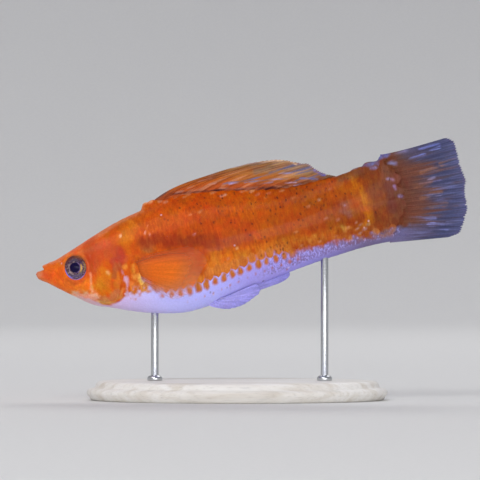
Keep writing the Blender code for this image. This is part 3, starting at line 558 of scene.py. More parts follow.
def fill(tree, node, inputs):
    """Sets or links a node's inputs, given by name or in their order. A hex code stands for a colour."""
    for name, value in inputs.items() if isinstance(inputs, dict) else enumerate(inputs):
        if isinstance(value, bpy.types.Node):
            value = value.outputs[0]
        if isinstance(value, bpy.types.NodeSocket):
            tree.links.new(value, node.inputs[name])
        else:
            node.inputs[name].default_value = (*linear(value), 1) if isinstance(value, str) else value
    return node


def add(tree, kind, inputs=(), stops=(), **options):
    """Adds one node with its options, fills its inputs and sets the stops of its colour ramp."""
    made = tree.nodes.new("ShaderNode" + kind)
    for name, value in options.items():
        setattr(made, name, value)
    for _ in stops[2:]:
        made.color_ramp.elements.new(1.0)
    for number, (at, code) in enumerate(stops):
        made.color_ramp.elements[number].position = at
        made.color_ramp.elements[number].color = (*linear(code), 1)
    return fill(tree, made, inputs)


def hide_finish(name, scaled):
    """Varnished paint over cast skin: it gives a moist gloss, mottled pigment, and pearly flecks painted in
    as glints.
    """
    material, tree, shader = new_material(name)
    place = add(tree, "Attribute", attribute_name="place").outputs["Vector"]
    tint = add(tree, "Attribute", attribute_name="tint").outputs["Color"]
    pale_tint = add(tree, "Attribute", attribute_name="pale_tint").outputs["Color"]
    pale, speckle, streaky, mottle = [
        add(tree, "Attribute", attribute_name=mark).outputs["Fac"]
        for mark in ("pale", "speckle", "streaky", "mottle")]
    # Pigment gathers in upright streaks about 0.5 mm wide, one or two to a scale.
    upright = add(tree, "Mapping", {"Vector": place, "Scale": (2.5, 1.1, 0.55)})
    streak = add(tree, "TexNoise", {"Vector": upright, "Scale": 1.0, "Detail": 3.0})
    streak_light = add(tree, "MapRange", [streak, 0.3, 0.7, 0.85, 1.13])
    streak_light = add(tree, "MixRGB", [streaky, "#FFFFFF", streak_light])
    grain = add(tree, "TexNoise", {"Vector": place, "Scale": 1 / 0.35, "Detail": 4.0, "Roughness": 0.6})
    grain_light = add(tree, "MapRange", [grain, 0.3, 0.7, 0.9, 1.09])
    light = add(tree, "Math", [streak_light, grain_light], operation="MULTIPLY")
    # The orange varies more in hue, from red to yellow, than in lightness.
    yellow = add(tree, "Math", [light, 2.0], operation="POWER")
    varied = add(tree, "CombineColor", [light, yellow, yellow])
    orange = add(tree, "MixRGB", [1.0, tint, varied], blend_type="MULTIPLY")
    soft_light = add(tree, "MapRange", [grain, 0.25, 0.75, 0.9, 1.08])
    white = add(tree, "MixRGB", [1.0, pale_tint, soft_light], blend_type="MULTIPLY")
    # Towards the tail the lilac is broken up by brown pigment in upright flecks 0.3 to 0.6 mm wide.
    patches = add(tree, "Mapping", {"Vector": place, "Scale": (2.6, 1.8, 1.3)})
    patchy = add(tree, "TexNoise", {"Vector": patches, "Scale": 1.0, "Detail": 4.0, "Roughness": 0.65})
    for low, high, strength, code in ((0.46, 0.6, 0.65, "#7A5468"), (0.48, 0.36, 0.6, "#C4B8F4")):
        shown = add(tree, "MapRange", [patchy, low, high, 0.0, strength])
        shown = add(tree, "Math", [shown, mottle], operation="MULTIPLY")
        white = add(tree, "MixRGB", [shown, white, code])
    colour = add(tree, "MixRGB", [pale, orange, white])
    # Black pigment cells, as upright dots 0.2 to 0.4 mm wide, some faint.
    drawn = add(tree, "Mapping", {"Vector": place, "Scale": (1.45, 1.0, 0.95)})
    cells = add(tree, "TexVoronoi", {"Vector": drawn, "Scale": 1.0, "Randomness": 1.0})
    chance = add(tree, "SeparateColor", [cells.outputs["Color"]])
    chosen = add(tree, "Math", [chance, speckle], operation="LESS_THAN")
    uneven = add(tree, "Math", [grain, -1.2, cells], operation="MULTIPLY_ADD")
    dark = add(tree, "MapRange", [uneven, -0.2, -0.46, 0.0, 0.85])
    faint = add(tree, "MapRange", [chance.outputs["Blue"], 0.0, 1.0, 0.2, 1.0])
    for factor in (chosen, faint):
        dark = add(tree, "Math", [dark, factor], operation="MULTIPLY")
    colour = add(tree, "MixRGB", [dark, colour, "#4A2012"])
    # Pearly flecks where guanine crystals catch the light: painted glints, as pale dots in the base colour.
    flecks = add(tree, "TexVoronoi", {"Vector": place, "Scale": 1 / 1.9, "Randomness": 1.0})
    luck = add(tree, "SeparateColor", [flecks.outputs["Color"]])
    lucky = add(tree, "Math", [luck.outputs["Green"], 0.14], operation="LESS_THAN")
    pearl_glint = add(tree, "MapRange", [flecks, 0.15, 0.06, 0.0, 0.5])
    pearl_glint = add(tree, "Math", [pearl_glint, lucky], operation="MULTIPLY")
    colour = add(tree, "MixRGB", [pearl_glint, colour, "#E6CDD8"])
    height = add(tree, "TexNoise", {"Vector": place, "Scale": 1 / 0.16, "Detail": 3.0})
    if scaled:
        # Growth rings of a scale, drawn 0.12 mm apart, coarser than the real ones, so that they show.
        local = add(tree, "Attribute", attribute_name="on_scale").outputs["Vector"]
        apart = add(tree, "VectorMath", [local], operation="LENGTH")
        rings = add(tree, "Math", [apart.outputs["Value"], 2 * math.pi / 0.12], operation="MULTIPLY")
        wave = add(tree, "Math", [rings], operation="SINE")
        height = add(tree, "Math", [wave, 0.35, height], operation="MULTIPLY_ADD")
    fill(tree, shader, {
        "Base Color": colour, "Roughness": add(tree, "MapRange", [grain, 0.2, 0.8, 0.38, 0.56]),
        "Normal": add(tree, "Bump", {"Height": height, "Strength": 0.25, "Distance": 0.02 * MM}),
        "IOR": 1.45, "Specular IOR Level": 0.08, "Coat Weight": 0.07, "Coat Roughness": 0.12,
        "Subsurface Weight": 0.1, "Subsurface Radius": (1.0, 0.4, 0.2), "Subsurface Scale": 0.5 * MM})
    return material


def speckles(points):
    """How thick the black dots lie: on the back under the sail, and in a patch low on the flank."""
    x, z = points[..., 0], points[..., 2]
    on_back = ease(x, 27, 40) * (1 - 0.7 * ease(x, 60, 72)) * ease(z - back(x), -11.0, -3.5)
    patch = hump(path_distance(np.stack([x, z], -1), [(47.5, -2.5), (50.5, -5.0)]), 2.2)
    clustered = 1 + 0.8 * soft_noise(points, 2.4, 27)
    return (0.62 * np.maximum(on_back, 1.4 * patch) + 0.06 * ease(x, 24, 30)) * clustered


def hide_marks(points, tint, pale):
    """What the hide's material reads at each point."""
    x, above_keel = points[:, 0], points[:, 2] - belly(points[:, 0])
    # The pale colour is mottled towards the tail, but not along the keel.
    mottle = ease(x, 43, 50) * (1 - 0.5 * ease(x, 72, 77)) * ease(above_keel, 0.7, 1.4)
    return {
        "place": points, "tint": rgba(tint), "pale_tint": rgba(colour_along(x, BELLY_COLOURS)), "pale": pale,
        "speckle": speckles(points), "streaky": 0.15 + 0.85 * ease(x, 17, 24), "mottle": mottle}


x, rings = 0.0, []
spacing = np.array(RING_SPACING).T
while x < SKIN_END:
    x += float(np.interp(x, *spacing))
    rings.append(min(x, SKIN_END))
rings = np.array(rings)
turns = np.linspace(0, 2 * math.pi, SKIN_SIDES, endpoint=False)
nominal, angle = np.meshgrid(rings, turns, indexing="ij")
ring_x = nominal
for _ in range(4):
    reach = tail_edge(body_form(ring_x, angle)[..., 2]) + 1.0
    stretch = (reach - WARP_FROM) / (SKIN_END - WARP_FROM)
    ring_x = np.where(nominal > WARP_FROM, WARP_FROM + (nominal - WARP_FROM) * stretch, nominal)
points = skin_point(ring_x.ravel(), angle.ravel())[0]
points = open_mouth(seat_eye(points))
wedge = np.clip((nominal.ravel() - (SKIN_END - TAIL_WEDGE)) / TAIL_WEDGE, 0, 1)
points[:, 1] *= 1 - ease(wedge, 0, 1)
last = (len(rings) - 1) * SKIN_SIDES
index = np.arange(len(rings) * SKIN_SIDES).reshape(len(rings), SKIN_SIDES)
half_turn = SKIN_SIDES // 2
# Beyond the belly the last ring uses the points of its other half, so that the wedge is closed.
index[-1, half_turn + 1 :] = index[-1, 1:half_turn][::-1]
points = points[: last + half_turn + 1]
index += 1
points = np.vstack([(0, 0, 0), points])
pale = ease(below_edge(points), -0.25, 0.45)
skin = make_piece("skin", points, ring_faces(index, start=0), hide_marks(points, flank_paint(points), pale))
skin.data.materials.append(hide_finish("varnished_fish_skin", scaled=False))
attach(skin, "root")
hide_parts("head", "lower_jaw", "trunk", "tail_stalk", "gill_cover_left", "gill_cover_right")

# Scales
# Thin round plates of bone and skin, set like roof tiles with their front ends in pockets of the hide.
# They run from the nape and the gill opening to the root of the tail fin, in rows that alternate.
# Distance between scales along a row, rows round the body, and cells across a scale's mesh.
SCALE_PITCH = 1.86
SCALE_ROWS = 26
SCALE_CELLS = 10
SCALE_HALF_LENGTH = 1.56
# Half the width of a scale, as a share of the distance between rows.
SCALE_HALF_WIDTH = 0.74
# Height over the skin of a scale's rear and front, and of its underside.
SCALE_REAR_LIFT = 0.034
SCALE_FRONT_SINK = -0.022
SCALE_UNDERSIDE = -0.13
# Where the first column of scales lies, and how many columns there are room for.
FIRST_SCALE = 13.0
SCALE_COLUMNS = 60
# How far the rows are drawn up towards the back, as a share of the girth.
ROW_SHIFT = 0.024
# Side of a scale's patch on the unwrapped skin.
PATCH = 0.003
# A table of angles by share of the girth: its length along the body, and its steps along, round and by share.
TABLE_LENGTH = 80
STEPS_ALONG, STEPS_ROUND, STEPS_SHARE = 320, 180, 120
girth_x = np.linspace(0, TABLE_LENGTH, STEPS_ALONG + 1)
girth_turn = np.linspace(0, math.pi, STEPS_ROUND + 1)
outline = body_form(*np.meshgrid(girth_x, girth_turn, indexing="ij"))
run = np.linalg.norm(np.diff(outline, axis=1), axis=-1).cumsum(axis=1)
run = np.concatenate([np.zeros((len(girth_x), 1)), run], axis=1)
girth_share = np.linspace(0, 1, STEPS_SHARE + 1)
turn_table = np.array([np.interp(girth_share, r / max(r[-1], 1e-6), girth_turn) for r in run])


def turn_at(x, share):
    """The angle round the body that lies this share of the way from back to belly, along the skin."""
    share = (share + 1) % 2 - 1
    row = np.clip(x / TABLE_LENGTH * STEPS_ALONG, 0, STEPS_ALONG - 0.001)
    column = np.clip(np.abs(share) * STEPS_SHARE, 0, STEPS_SHARE - 0.001)
    i, j = row.astype(int), column.astype(int)
    a, b = row - i, column - j
    low = turn_table[i, j] * (1 - b) + turn_table[i, j + 1] * b
    high = turn_table[i + 1, j] * (1 - b) + turn_table[i + 1, j + 1] * b
    return np.copysign(low * (1 - a) + high * a, share)


def scale_places(first_row, last_row, random):
    """Centres of the scales of some rows, as a distance behind the jaw's tip and a share of the girth."""
    places = []
    for row in range(first_row, last_row):
        share = row / (SCALE_ROWS / 2)
        share -= ROW_SHIFT * math.sin(math.pi * share)
        for column in range(SCALE_COLUMNS):
            x = FIRST_SCALE + SCALE_PITCH * (column + 0.5 * (row % 2)) + random.normal(0, 0.05)
            at = body_form(np.array([x]), turn_at(np.array([x]), np.array([share])))[0]
            flat = at[None, (0, 2)]
            # A row begins behind the gill cover: further back at mid height than near the back and throat.
            first = 15.0 + 3.2 * ease(-at[2], -5.0, 1.0) - 2.6 * ease(-at[2], 8.5, 10.5)
            clear = depth_inside(flat, gill_outline)[0] < -1.15
            if first < x < tail_edge(at[2]) - 0.6 and clear:
                at_share = share + random.normal(0, 0.002)
                places.append((x, at_share, random.uniform(0.94, 1.05), random.uniform()))
    return np.array(places)


def sheet_faces(grid):
    """The quads of a sheet of points, and the points round its rim in their order."""
    quads = np.stack([grid[:-1, :-1], grid[1:, :-1], grid[1:, 1:], grid[:-1, 1:]], -1).reshape(-1, 4)
    return quads, np.concatenate([grid[:-1, 0], grid[-1, :-1], grid[:0:-1, -1], grid[0, :0:-1]])


def scale_coat(name, first_row, last_row, seed):
    """All scales of some rows, joined, each closed underneath."""
    places = scale_places(first_row, last_row, np.random.default_rng(seed))
    # One scale: a square grid drawn into a disc, with a wall round it down to an underside in the skin.
    n = SCALE_CELLS + 1
    u, v = np.meshgrid(np.linspace(-1, 1, n), np.linspace(-1, 1, n), indexing="ij")
    disc_x, disc_y = u * np.sqrt(1 - v**2 / 2), v * np.sqrt(1 - u**2 / 2)
    top, rim = sheet_faces(np.arange(n * n).reshape(n, n))
    low = n * n + np.arange(len(rim))
    wall = np.stack([rim, low, np.roll(low, -1), np.roll(rim, -1)], -1)
    px = np.concatenate([disc_x.ravel(), disc_x.ravel()[rim]])
    py = np.concatenate([disc_y.ravel(), disc_y.ravel()[rim]])
    from_middle = np.hypot(px, py)
    # Its front sinks into the skin, its rear stands clear, and it is a little domed.
    lift = SCALE_FRONT_SINK + (SCALE_REAR_LIFT - SCALE_FRONT_SINK) * ease(px, -1.1, 1.0)
    lift += 0.006 * (1 - py**2) - 0.008 * ease(from_middle, 0.82, 1.0)
    lift[n * n :] = SCALE_UNDERSIDE
    # Each is sized, set in its row, laid on the skin and raised by a little of its own.
    girth = np.interp(places[:, 0], girth_x, run[:, -1])
    spacing = girth / (SCALE_ROWS / 2)
    size = places[:, 2:3]
    shrink = 1 - 0.12 * ease(places[:, :1], 55, 74)
    x = places[:, :1] + SCALE_HALF_LENGTH * px * size * shrink
    share = places[:, 1:2] + SCALE_HALF_WIDTH * size * py * (spacing / girth)[:, None]
    lifts = lift * np.where(lift > 0, 1 - 0.6 * ease(x, 64, 72), 1)
    lifts += np.where(lift > -0.1, 0.012 * (places[:, 3:] - 0.5), 0)
    points = skin_point(x.ravel(), turn_at(x.ravel(), share.ravel()), lifts.ravel())[0]
    count, each = len(places), len(px)
    start = (np.arange(count) * each)[:, None, None]
    faces = (start + top).reshape(-1, 4).tolist() + (start + wall).reshape(-1, 4).tolist()
    faces += (start[:, 0] + low[::-1]).tolist()
    # How far each scale lies below the edge of the orange.
    centre = skin_point(places[:, 0], turn_at(places[:, 0], places[:, 1]))[0]
    below = below_edge(centre)[:, None] + 0.5 * (places[:, 3:] - 0.5)
    rearward = ease(x, 50, 56)
    # An upright spot of orange stays in the middle of each pale scale near the edge, smaller the lower it is.
    spot = 1.1 - 0.15 * np.maximum(below, 0) - 0.6 * ease(below, 1.1, 2.3) + 0.9 * np.maximum(-below, 0)
    spot = spot - 0.55 * (1 - ease(x, 24, 34))
    down = py * np.sign(places[:, 1:2] + 1e-6)
    tall = np.where(down < 0, 0.85, 0.6)
    oval = np.hypot((px - 0.38) / (0.42 - 0.12 * ease(x, 44, 50)), (down + 0.03) / tall)
    oval += 0.3 * soft_noise(points, 0.6, 14).reshape(x.shape)
    local = below_edge(points).reshape(x.shape)
    pale = ease(oval, spot - 0.4, spot + 0.4)
    pale = np.maximum(pale, ease(below, 3.0, 3.6)) * ease(below, -2.2, -0.6) * ease(local, -1.5, -0.1)
    # Towards the tail, and ahead of the breast fins, the colours meet in a ragged line instead.
    pale += (ease(local, -0.6, 0.8) - pale) * rearward
    stipple = local + 1.3 * soft_noise(points, 0.55, 17).reshape(x.shape)
    pale += (ease(stipple, -0.9, 1.0) - pale) * (1 - ease(x, 21, 26))
    tint = flank_paint(points).reshape(count, each, 3)
    tint = blend(tint, "#C47232", 0.75 * ease(below, -2.2, 0.0) * (1 - 0.5 * rearward))
    # Each scale is a little lighter towards its free edge and a little darker about its middle, and no two
    # scales are quite the same.
    light = 1 + 0.04 * (places[:, 3:] - 0.5) + 0.015 * ease(px, -0.2, 0.9) - 0.02 * hump(px + 0.1, 0.5)
    tint = tint * light[..., None]
    marks = hide_marks(points, np.clip(tint, 0, 1).reshape(-1, 3), pale.ravel())
    on_scale = np.stack([px + 0.55 + 0 * x, py + 0 * x, places[:, 3:] + 0 * x], -1).reshape(-1, 3)
    marks["on_scale"] = on_scale * (1.5, 1.4, 0)
    made = make_piece(name, points, faces, marks)
    made.data.set_sharp_from_angle(angle=math.radians(50))
    # Each scale has its own small patch, at its place on the unwrapped skin.
    patches = made.data.uv_layers.new(name="OFBake")
    root = np.stack([places[:, 0] / TABLE_LENGTH, (places[:, 1] + 1) / 2], -1)[:, None]
    patch = (root + np.stack([px, py], -1) * PATCH / 2).reshape(-1, 2)
    corner = np.zeros(len(made.data.loops), np.int32)
    made.data.loops.foreach_get("vertex_index", corner)
    patches.data.foreach_set("uv", patch[corner].astype(np.float32).ravel())
    return made


scale_finish = hide_finish("varnished_scales", scaled=True)
for name, first_row, last_row, seed in (("scales_left", -13, 0, 21), ("scales_right", 0, 13, 22)):
    coat = scale_coat(name, first_row, last_row, seed)
    coat.data.materials.append(scale_finish)
    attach(coat, "root")

# Eyes
# A flattened ball with a clear cornea over a mottled, silvery iris, and the lens bulging in the pupil. In
# a museum fish it is blown glass, painted from behind and set in the socket under the orbit's rim.
PUPIL_RADIUS = 1.04
IRIS_SINK = 0.07
# Steps of the ball's mesh, from front to back and round it.
EYE_RINGS = 72
EYE_SIDES = 144
# Tinted arcs of the iris: where each is in degrees, from 0 at the rear and 90 at the top, how far it spreads
# to each side, its radius and half width in millimetres, its colour and how strongly it covers.
IRIS_ARCS = [
    (90, 80, 2.3, 0.8, "#5E3230", 0.9), (80, 65, 1.5, 0.36, "#42344A", 0.75),
    (62, 30, 2.4, 0.4, "#84502E", 0.75), (28, 16, 1.6, 0.3, "#2A1C4A", 0.7),
    (-18, 44, 1.42, 0.26, "#CC9E58", 0.95), (-4, 30, 2.12, 0.15, "#AC8A46", 0.8),
    (-58, 34, 1.65, 0.3, "#7C6A36", 0.75), (180, 60, 1.32, 0.12, "#AC9490", 0.75),
    (228, 32, 1.5, 0.16, "#B49A88", 0.7), (270, 60, 1.8, 0.45, "#5C5274", 0.7),
    # The next two arcs, bluish lilac low and to the front of the iris's outer ring, are painted highlights.
    (210, 38, 2.3, 0.26, "#8C8AF6", 1.0), (262, 55, 2.48, 0.16, "#B090CC", 0.9),
    (-55, 35, 2.42, 0.16, "#A084C0", 0.8), (-15, 100, 1.15, 0.06, "#5C54B0", 0.7),
]


def eye_finish():
    """Painted glass: a deep, wet gloss over specks of silver, gold, brown and slate."""
    material, tree, shader = new_material("painted_glass_eye")
    local = add(tree, "Attribute", attribute_name="iris").outputs["Vector"]
    flat = add(tree, "VectorMath", [local, (1.06, 1.0, 0.0)], operation="MULTIPLY")
    radius = add(tree, "VectorMath", [flat], operation="LENGTH").outputs["Value"]
    way = add(tree, "VectorMath", [flat], operation="NORMALIZE")
    fibre = add(tree, "TexNoise", {"Vector": local, "Scale": 3.2, "Detail": 5.0, "Roughness": 0.7})
    # Pigment of the iris in flecks of 0.2 to 0.4 mm.
    colour = add(tree, "ValToRGB", [fibre], stops=[
        (0.36, "#1E1018"), (0.45, "#422C36"), (0.52, "#5E4854"), (0.58, "#82686C"), (0.68, "#AE927C")])
    for degrees, spread, middle, reach, code, strength in IRIS_ARCS:
        aim = (math.cos(math.radians(degrees)), math.sin(math.radians(degrees)), 0.0)
        facing = add(tree, "VectorMath", [way, aim], operation="DOT_PRODUCT").outputs["Value"]
        widest_turn, full_turn = math.cos(math.radians(spread)), math.cos(math.radians(0.45 * spread))
        turned_to = add(tree, "MapRange", [facing, widest_turn, full_turn, 0.0, 1.9 * strength])
        offset = add(tree, "Math", [radius, middle], operation="SUBTRACT")
        away = add(tree, "Math", [offset], operation="ABSOLUTE")
        near = add(tree, "MapRange", [away, reach, 0.3 * reach])
        whole = add(tree, "Math", [turned_to, near], operation="MULTIPLY")
        broken = add(tree, "Math", [whole, fibre], operation="MULTIPLY", use_clamp=True)
        colour = add(tree, "MixRGB", [broken, colour, code])
    in_pupil = add(tree, "MapRange", [radius, PUPIL_RADIUS + 0.05, PUPIL_RADIUS - 0.03])
    fill(tree, shader, {
        "Base Color": add(tree, "MixRGB", [in_pupil, colour, "#100630"]),
        "Normal": add(tree, "Bump", {"Height": fibre, "Strength": 0.3, "Distance": 0.03 * MM}),
        "Roughness": 0.4, "IOR": 1.38, "Specular IOR Level": 0.05,
        "Coat Weight": 0.25, "Coat Roughness": 0.03, "Coat IOR": 1.34})
    return material


def eyeball(name, mirror):
    """One eye: a ball whose iris is sunk a little round the bulging lens."""
    rings = np.linspace(0, math.pi, EYE_RINGS)[1:-1]
    sides = np.linspace(0, 2 * math.pi, EYE_SIDES, endpoint=False)
    polar, turn = np.meshgrid(rings, sides, indexing="ij")
    out = np.sin(polar)
    share = np.stack([out * np.cos(turn), out * np.sin(turn), np.cos(polar)], -1).reshape(-1, 3)
    share = np.vstack([(0, 0, 1), share, (0, 0, -1)])
    local = share * EYE_RADII
    radius = np.hypot(local[:, 0], local[:, 1])
    front = local[:, 2] > 0
    ring = ease(radius, PUPIL_RADIUS - 0.05, PUPIL_RADIUS + 0.12) * (1 - ease(radius, 1.5, 2.1))
    local[:, 2] -= np.where(front, IRIS_SINK * ring, 0)
    points = EYE_CENTRE + local[:, :1] * eye_rear + local[:, 1:2] * eye_up + local[:, 2:] * eye_out
    points = points * (1, mirror, 1)
    index = np.arange(len(polar) * EYE_SIDES).reshape(-1, EYE_SIDES) + 1
    faces = ring_faces(index, start=0, end=len(points) - 1)
    if mirror < 0:
        faces = [face[::-1] for face in faces]
    return make_piece(name, points, faces, {"iris": local})


glass = eye_finish()
for side, mirror in (("left", 1), ("right", -1)):
    ball = eyeball(f"eyeball_{side}", mirror)
    ball.data.materials.append(glass)
    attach(ball, "root")
    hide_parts(f"eye_{side}")

# Sail
# The back fin of the male, folded back low: eighteen long, jointed rays with a thin pleated skin between
# them. On a model it is cast in clear resin and tinted, and its foot is let into the back.
SAIL_RAYS = 18
SAIL_TIPS = [
    (41.5, 12.85), (44.8, 13.1), (48.3, 13.25), (51.0, 13.1), (53.4, 12.85), (55.8, 12.1), (58.0, 11.15),
    (59.5, 10.7), (61.1, 9.1), (62.5, 8.0), (63.7, 7.4), (64.9, 6.9),
]
# Colours of the sail from foot to tips.
SAIL_COLOURS = [(0, "#B04818"), (0.3, "#BA5C18"), (0.6, "#B06A28"), (0.85, "#A47A44"), (1, "#AC8866")]
# Broad washes of colour on the sail, laid before the streaks of its rays.
SAIL_WASHES = [
    ([(26, 9.3), (32, 9.8), (40, 9.2), (48, 7.6), (56, 6.9), (61, 7.2)], 0.5, 1.4, "#B4501C", 0.85),
    ([(44.8, 10.9), (50.1, 10.9)], 0.5, 1.2, "#B86C28", 0.7),
    ([(48.6, 11.4), (52.8, 11.1)], 0.2, 0.8, "#8C705C", 0.75),
    ([(53.0, 12.3), (56.7, 11.2)], 0.3, 0.7, "#BC9064", 0.75),
    ([(55.3, 10.5), (60.4, 9.7)], 0.6, 1.0, "#8E7468", 0.8),
]
# Single streaks and pearly dashes of the sail, laid last.
SAIL_STREAKS = [
    ([(27.8, 10.4), (33.0, 12.4), (39.5, 13.1)], 0.1, 0.35, "#6C5250", 0.75),
    ([(38.4, 12.8), (40.5, 12.9)], 0.05, 0.35, "#8C6E78", 0.7),
    ([(44.0, 13.3), (48.0, 13.35), (50.0, 13.1)], 0.1, 0.35, "#A48C90", 0.8),
    ([(50.0, 13.1), (53.1, 12.8), (55.9, 12.1), (57.2, 11.0)], 0.06, 0.32, "#DEB898", 0.9),
    ([(57.8, 11.2), (59.3, 10.7), (61.0, 9.3)], 0.08, 0.4, "#A08890", 0.8),
    ([(60.6, 9.0), (61.4, 8.4), (62.6, 7.5)], 0.06, 0.4, "#7470C0", 0.95),
    ([(30.5, 10.4), (35.6, 9.8), (39.2, 9.3)], 0.05, 0.35, "#642A1C", 0.9),
    ([(39.2, 9.3), (50.9, 7.35), (54.3, 6.9)], 0.16, 0.4, "#50201A", 1.0),
    ([(40.8, 9.5), (44.3, 8.6), (48.4, 8.1)], 0.03, 0.26, "#C88870", 0.6),
    ([(52.0, 7.7), (54.4, 6.7)], 0.03, 0.28, "#CC906C", 0.7),
    ([(41.6, 10.3), (45.0, 10.0), (49.1, 10.0), (52.9, 10.3)], 0.03, 0.26, "#726A92", 0.95),
    ([(51.6, 10.5), (54.2, 10.7), (56.6, 11.1)], 0.03, 0.24, "#6E6684", 0.9),
    ([(43.0, 9.95), (44.6, 9.8)], 0.05, 0.26, "#AC9CD0", 0.9),
    ([(46.2, 9.6), (51.0, 9.1)], 0.04, 0.26, "#7C7496", 0.8),
    ([(48.6, 8.8), (51.7, 8.5)], 0.04, 0.26, "#8C7C9C", 0.75),
    ([(51.3, 9.1), (54.8, 8.5)], 0.04, 0.26, "#9088B0", 0.8),
    ([(53.3, 9.9), (56.1, 9.5)], 0.04, 0.26, "#9C94C4", 0.8),
    ([(54.2, 7.8), (56.4, 7.4)], 0.05, 0.26, "#B4A4D0", 0.85),
    ([(55.8, 6.9), (57.3, 6.8)], 0.05, 0.26, "#BCA8CC", 0.85),
    ([(57.4, 8.1), (60.8, 7.2)], 0.05, 0.28, "#7070A0", 0.85),
    ([(36.6, 11.8), (39.5, 11.9)], 0.03, 0.26, "#B88278", 0.7),
    ([(38.7, 10.8), (40.0, 10.7)], 0.03, 0.26, "#C0949C", 0.75),
    ([(34.3, 10.9), (35.6, 11.1)], 0.03, 0.26, "#C08C7C", 0.7),
    ([(31.8, 10.5), (33.1, 10.5)], 0.03, 0.26, "#BC8474", 0.7),
]
# Columns of the mesh from one ray to the next.
RAY_COLUMNS = 12


def smooth_path(points):
    """A smooth curve through points, taken by its share of the length."""
    points = np.array(points, float)
    length = np.concatenate([[0], np.linalg.norm(np.diff(points, axis=0), axis=1).cumsum()])
    axes = [profile(list(zip(length, points[:, axis]))) for axis in range(points.shape[1])]
    return lambda share: np.stack([axis(share * length[-1]) for axis in axes], -1)


def branch_distance(ray, along, first_fork, second_fork):
    """How far a point is from the nearest branch, as a share of the distance between rays."""
    off = np.abs(ray - np.round(ray))
    first = 0.25 * ease(along, first_fork, 1.1)
    off = np.abs(off - first)
    second = 0.11 * ease(along, second_fork, 1.15)
    return np.abs(off - second)


def fin_blade(name, root, tips, rays, lean, paint, seed, bulge=(0, 0), rows=56, sink=0.7, into=None,
              forks=(0.42, 0.72), ray=0.15, membrane=0.045, notch=0.35, fray=0.25, pleat=0.12, joint=0.6,
              swept=1.0):
    """A fin in the plane of its rays. Root and tips run from its first ray to its last, in millimetres.

    Lean says how far a point stands out to the side, and paint gives its colour and how solid it is. Bulge is
    how far the first and last rays arch. Sink is how far the root goes on into the body, against the rays or
    the way that into gives. Ray and membrane are half thicknesses. Notch is how far the membrane's edge falls
    back between the branches, fray how uneven the tips are, and joint the length of a ray's segments. Swept
    below 1 lays the middle rays back.
    """
    random = np.random.default_rng(seed)
    columns = RAY_COLUMNS * (rays - 1) + 1
    share, along = np.meshgrid(np.linspace(0, 1, columns), np.linspace(0, 1, rows) ** 0.9, indexing="ij")
    number = share * (rays - 1)
    start, end = smooth_path(root)(share), smooth_path(tips)(share**swept)
    way = end - start
    length = np.linalg.norm(way, axis=-1, keepdims=True)
    way /= length
    start = start + (-way if into is None else np.array(into)) * sink
    # The outer edge is notched between the branches and unevenly worn.
    off = branch_distance(number, along, *forks)
    off_tip = branch_distance(number, np.ones_like(along), *forks)
    uneven = np.interp(number, np.arange(0, rays, 0.5), random.normal(0, fray, 2 * rays)) - 0.12
    uneven += np.interp(number, np.arange(0, rays, 0.25), random.normal(0, fray * 0.4, 4 * rays))
    end = end - way * (notch * ease(off_tip, 0.02, 0.1) + np.maximum(uneven, -0.15) * 0.7)[..., None]
    # The sheet's middle is arched, leaning and pleated.
    flat = start + (end - start) * along[..., None]
    arch = (bulge[0] + (bulge[1] - bulge[0]) * share) * np.sin(math.pi * along**0.65)
    out = lean(share, along) + pleat * np.cos(math.pi * number) * (0.25 + 0.75 * along)
    middle = np.stack([flat[..., 0], out, flat[..., 1] + arch], -1)
    # Its rays stand out in segments, thick at the root, and it thins to the edge.
    width = 0.17 - 0.09 * along
    crest = np.exp(-((off / width) ** 2))
    segment = np.abs((along * length[..., 0] / joint + 0.37 * np.round(number)) % 1 - 0.5)
    bead = 1 - 0.35 * hump(segment, 0.1) * ease(along, 0.12, 0.25)
    thick = membrane + (ray * (1 - 0.62 * along)) * crest * bead
    thick += 0.22 * (1 - ease(along, 0.0, 0.1))
    thick *= 1 - 0.75 * ease(along, 0.93, 1.0)
    normal = np.cross(np.gradient(middle, axis=0), np.gradient(middle, axis=1))
    normal *= (thick / np.linalg.norm(normal, axis=-1))[..., None]
    points = np.concatenate([(middle + normal).reshape(-1, 3), (middle - normal).reshape(-1, 3)])
    count = columns * rows
    face, rim = sheet_faces(np.arange(count).reshape(columns, rows))
    after = np.roll(rim, -1)
    wall = np.stack([rim, rim + count, after + count, after], -1)
    faces = face.tolist() + (face[:, ::-1] + count).tolist() + wall.tolist()
    colour, veil = paint(middle, share, along, crest, number)
    tint = rgba(np.clip(colour, 0, 1)).reshape(-1, 4)
    veil = np.clip(veil, 0, 1).ravel()
    marks = {"place": points, "tint": np.tile(tint, (2, 1)), "veil": np.tile(veil, 2)}
    return make_piece(name, points, faces, marks)


def fin_finish(name):
    """Tinted clear resin: thin and faintly see-through between rays that are cast solid."""
    material, tree, shader = new_material(name)
    place = add(tree, "Attribute", attribute_name="place").outputs["Vector"]
    tint = add(tree, "Attribute", attribute_name="tint").outputs["Color"]
    grain = add(tree, "TexNoise", {"Vector": place, "Scale": 1 / 0.3, "Detail": 4.0})
    light = add(tree, "MapRange", [grain, 0.3, 0.7, 0.88, 1.12])
    fine = add(tree, "TexNoise", {"Vector": place, "Scale": 1 / 0.12, "Detail": 2.0})
    fill(tree, shader, {
        "Base Color": add(tree, "MixRGB", [1.0, tint, light], blend_type="MULTIPLY"),
        "Alpha": add(tree, "Attribute", attribute_name="veil").outputs["Fac"],
        "Normal": add(tree, "Bump", {"Height": fine, "Strength": 0.2, "Distance": 0.02 * MM}),
        "Roughness": 0.45, "IOR": 1.45, "Specular IOR Level": 0.12, "Subsurface Weight": 0.12,
        "Subsurface Radius": (1.0, 0.5, 0.3), "Subsurface Scale": 0.3 * MM})
    return material


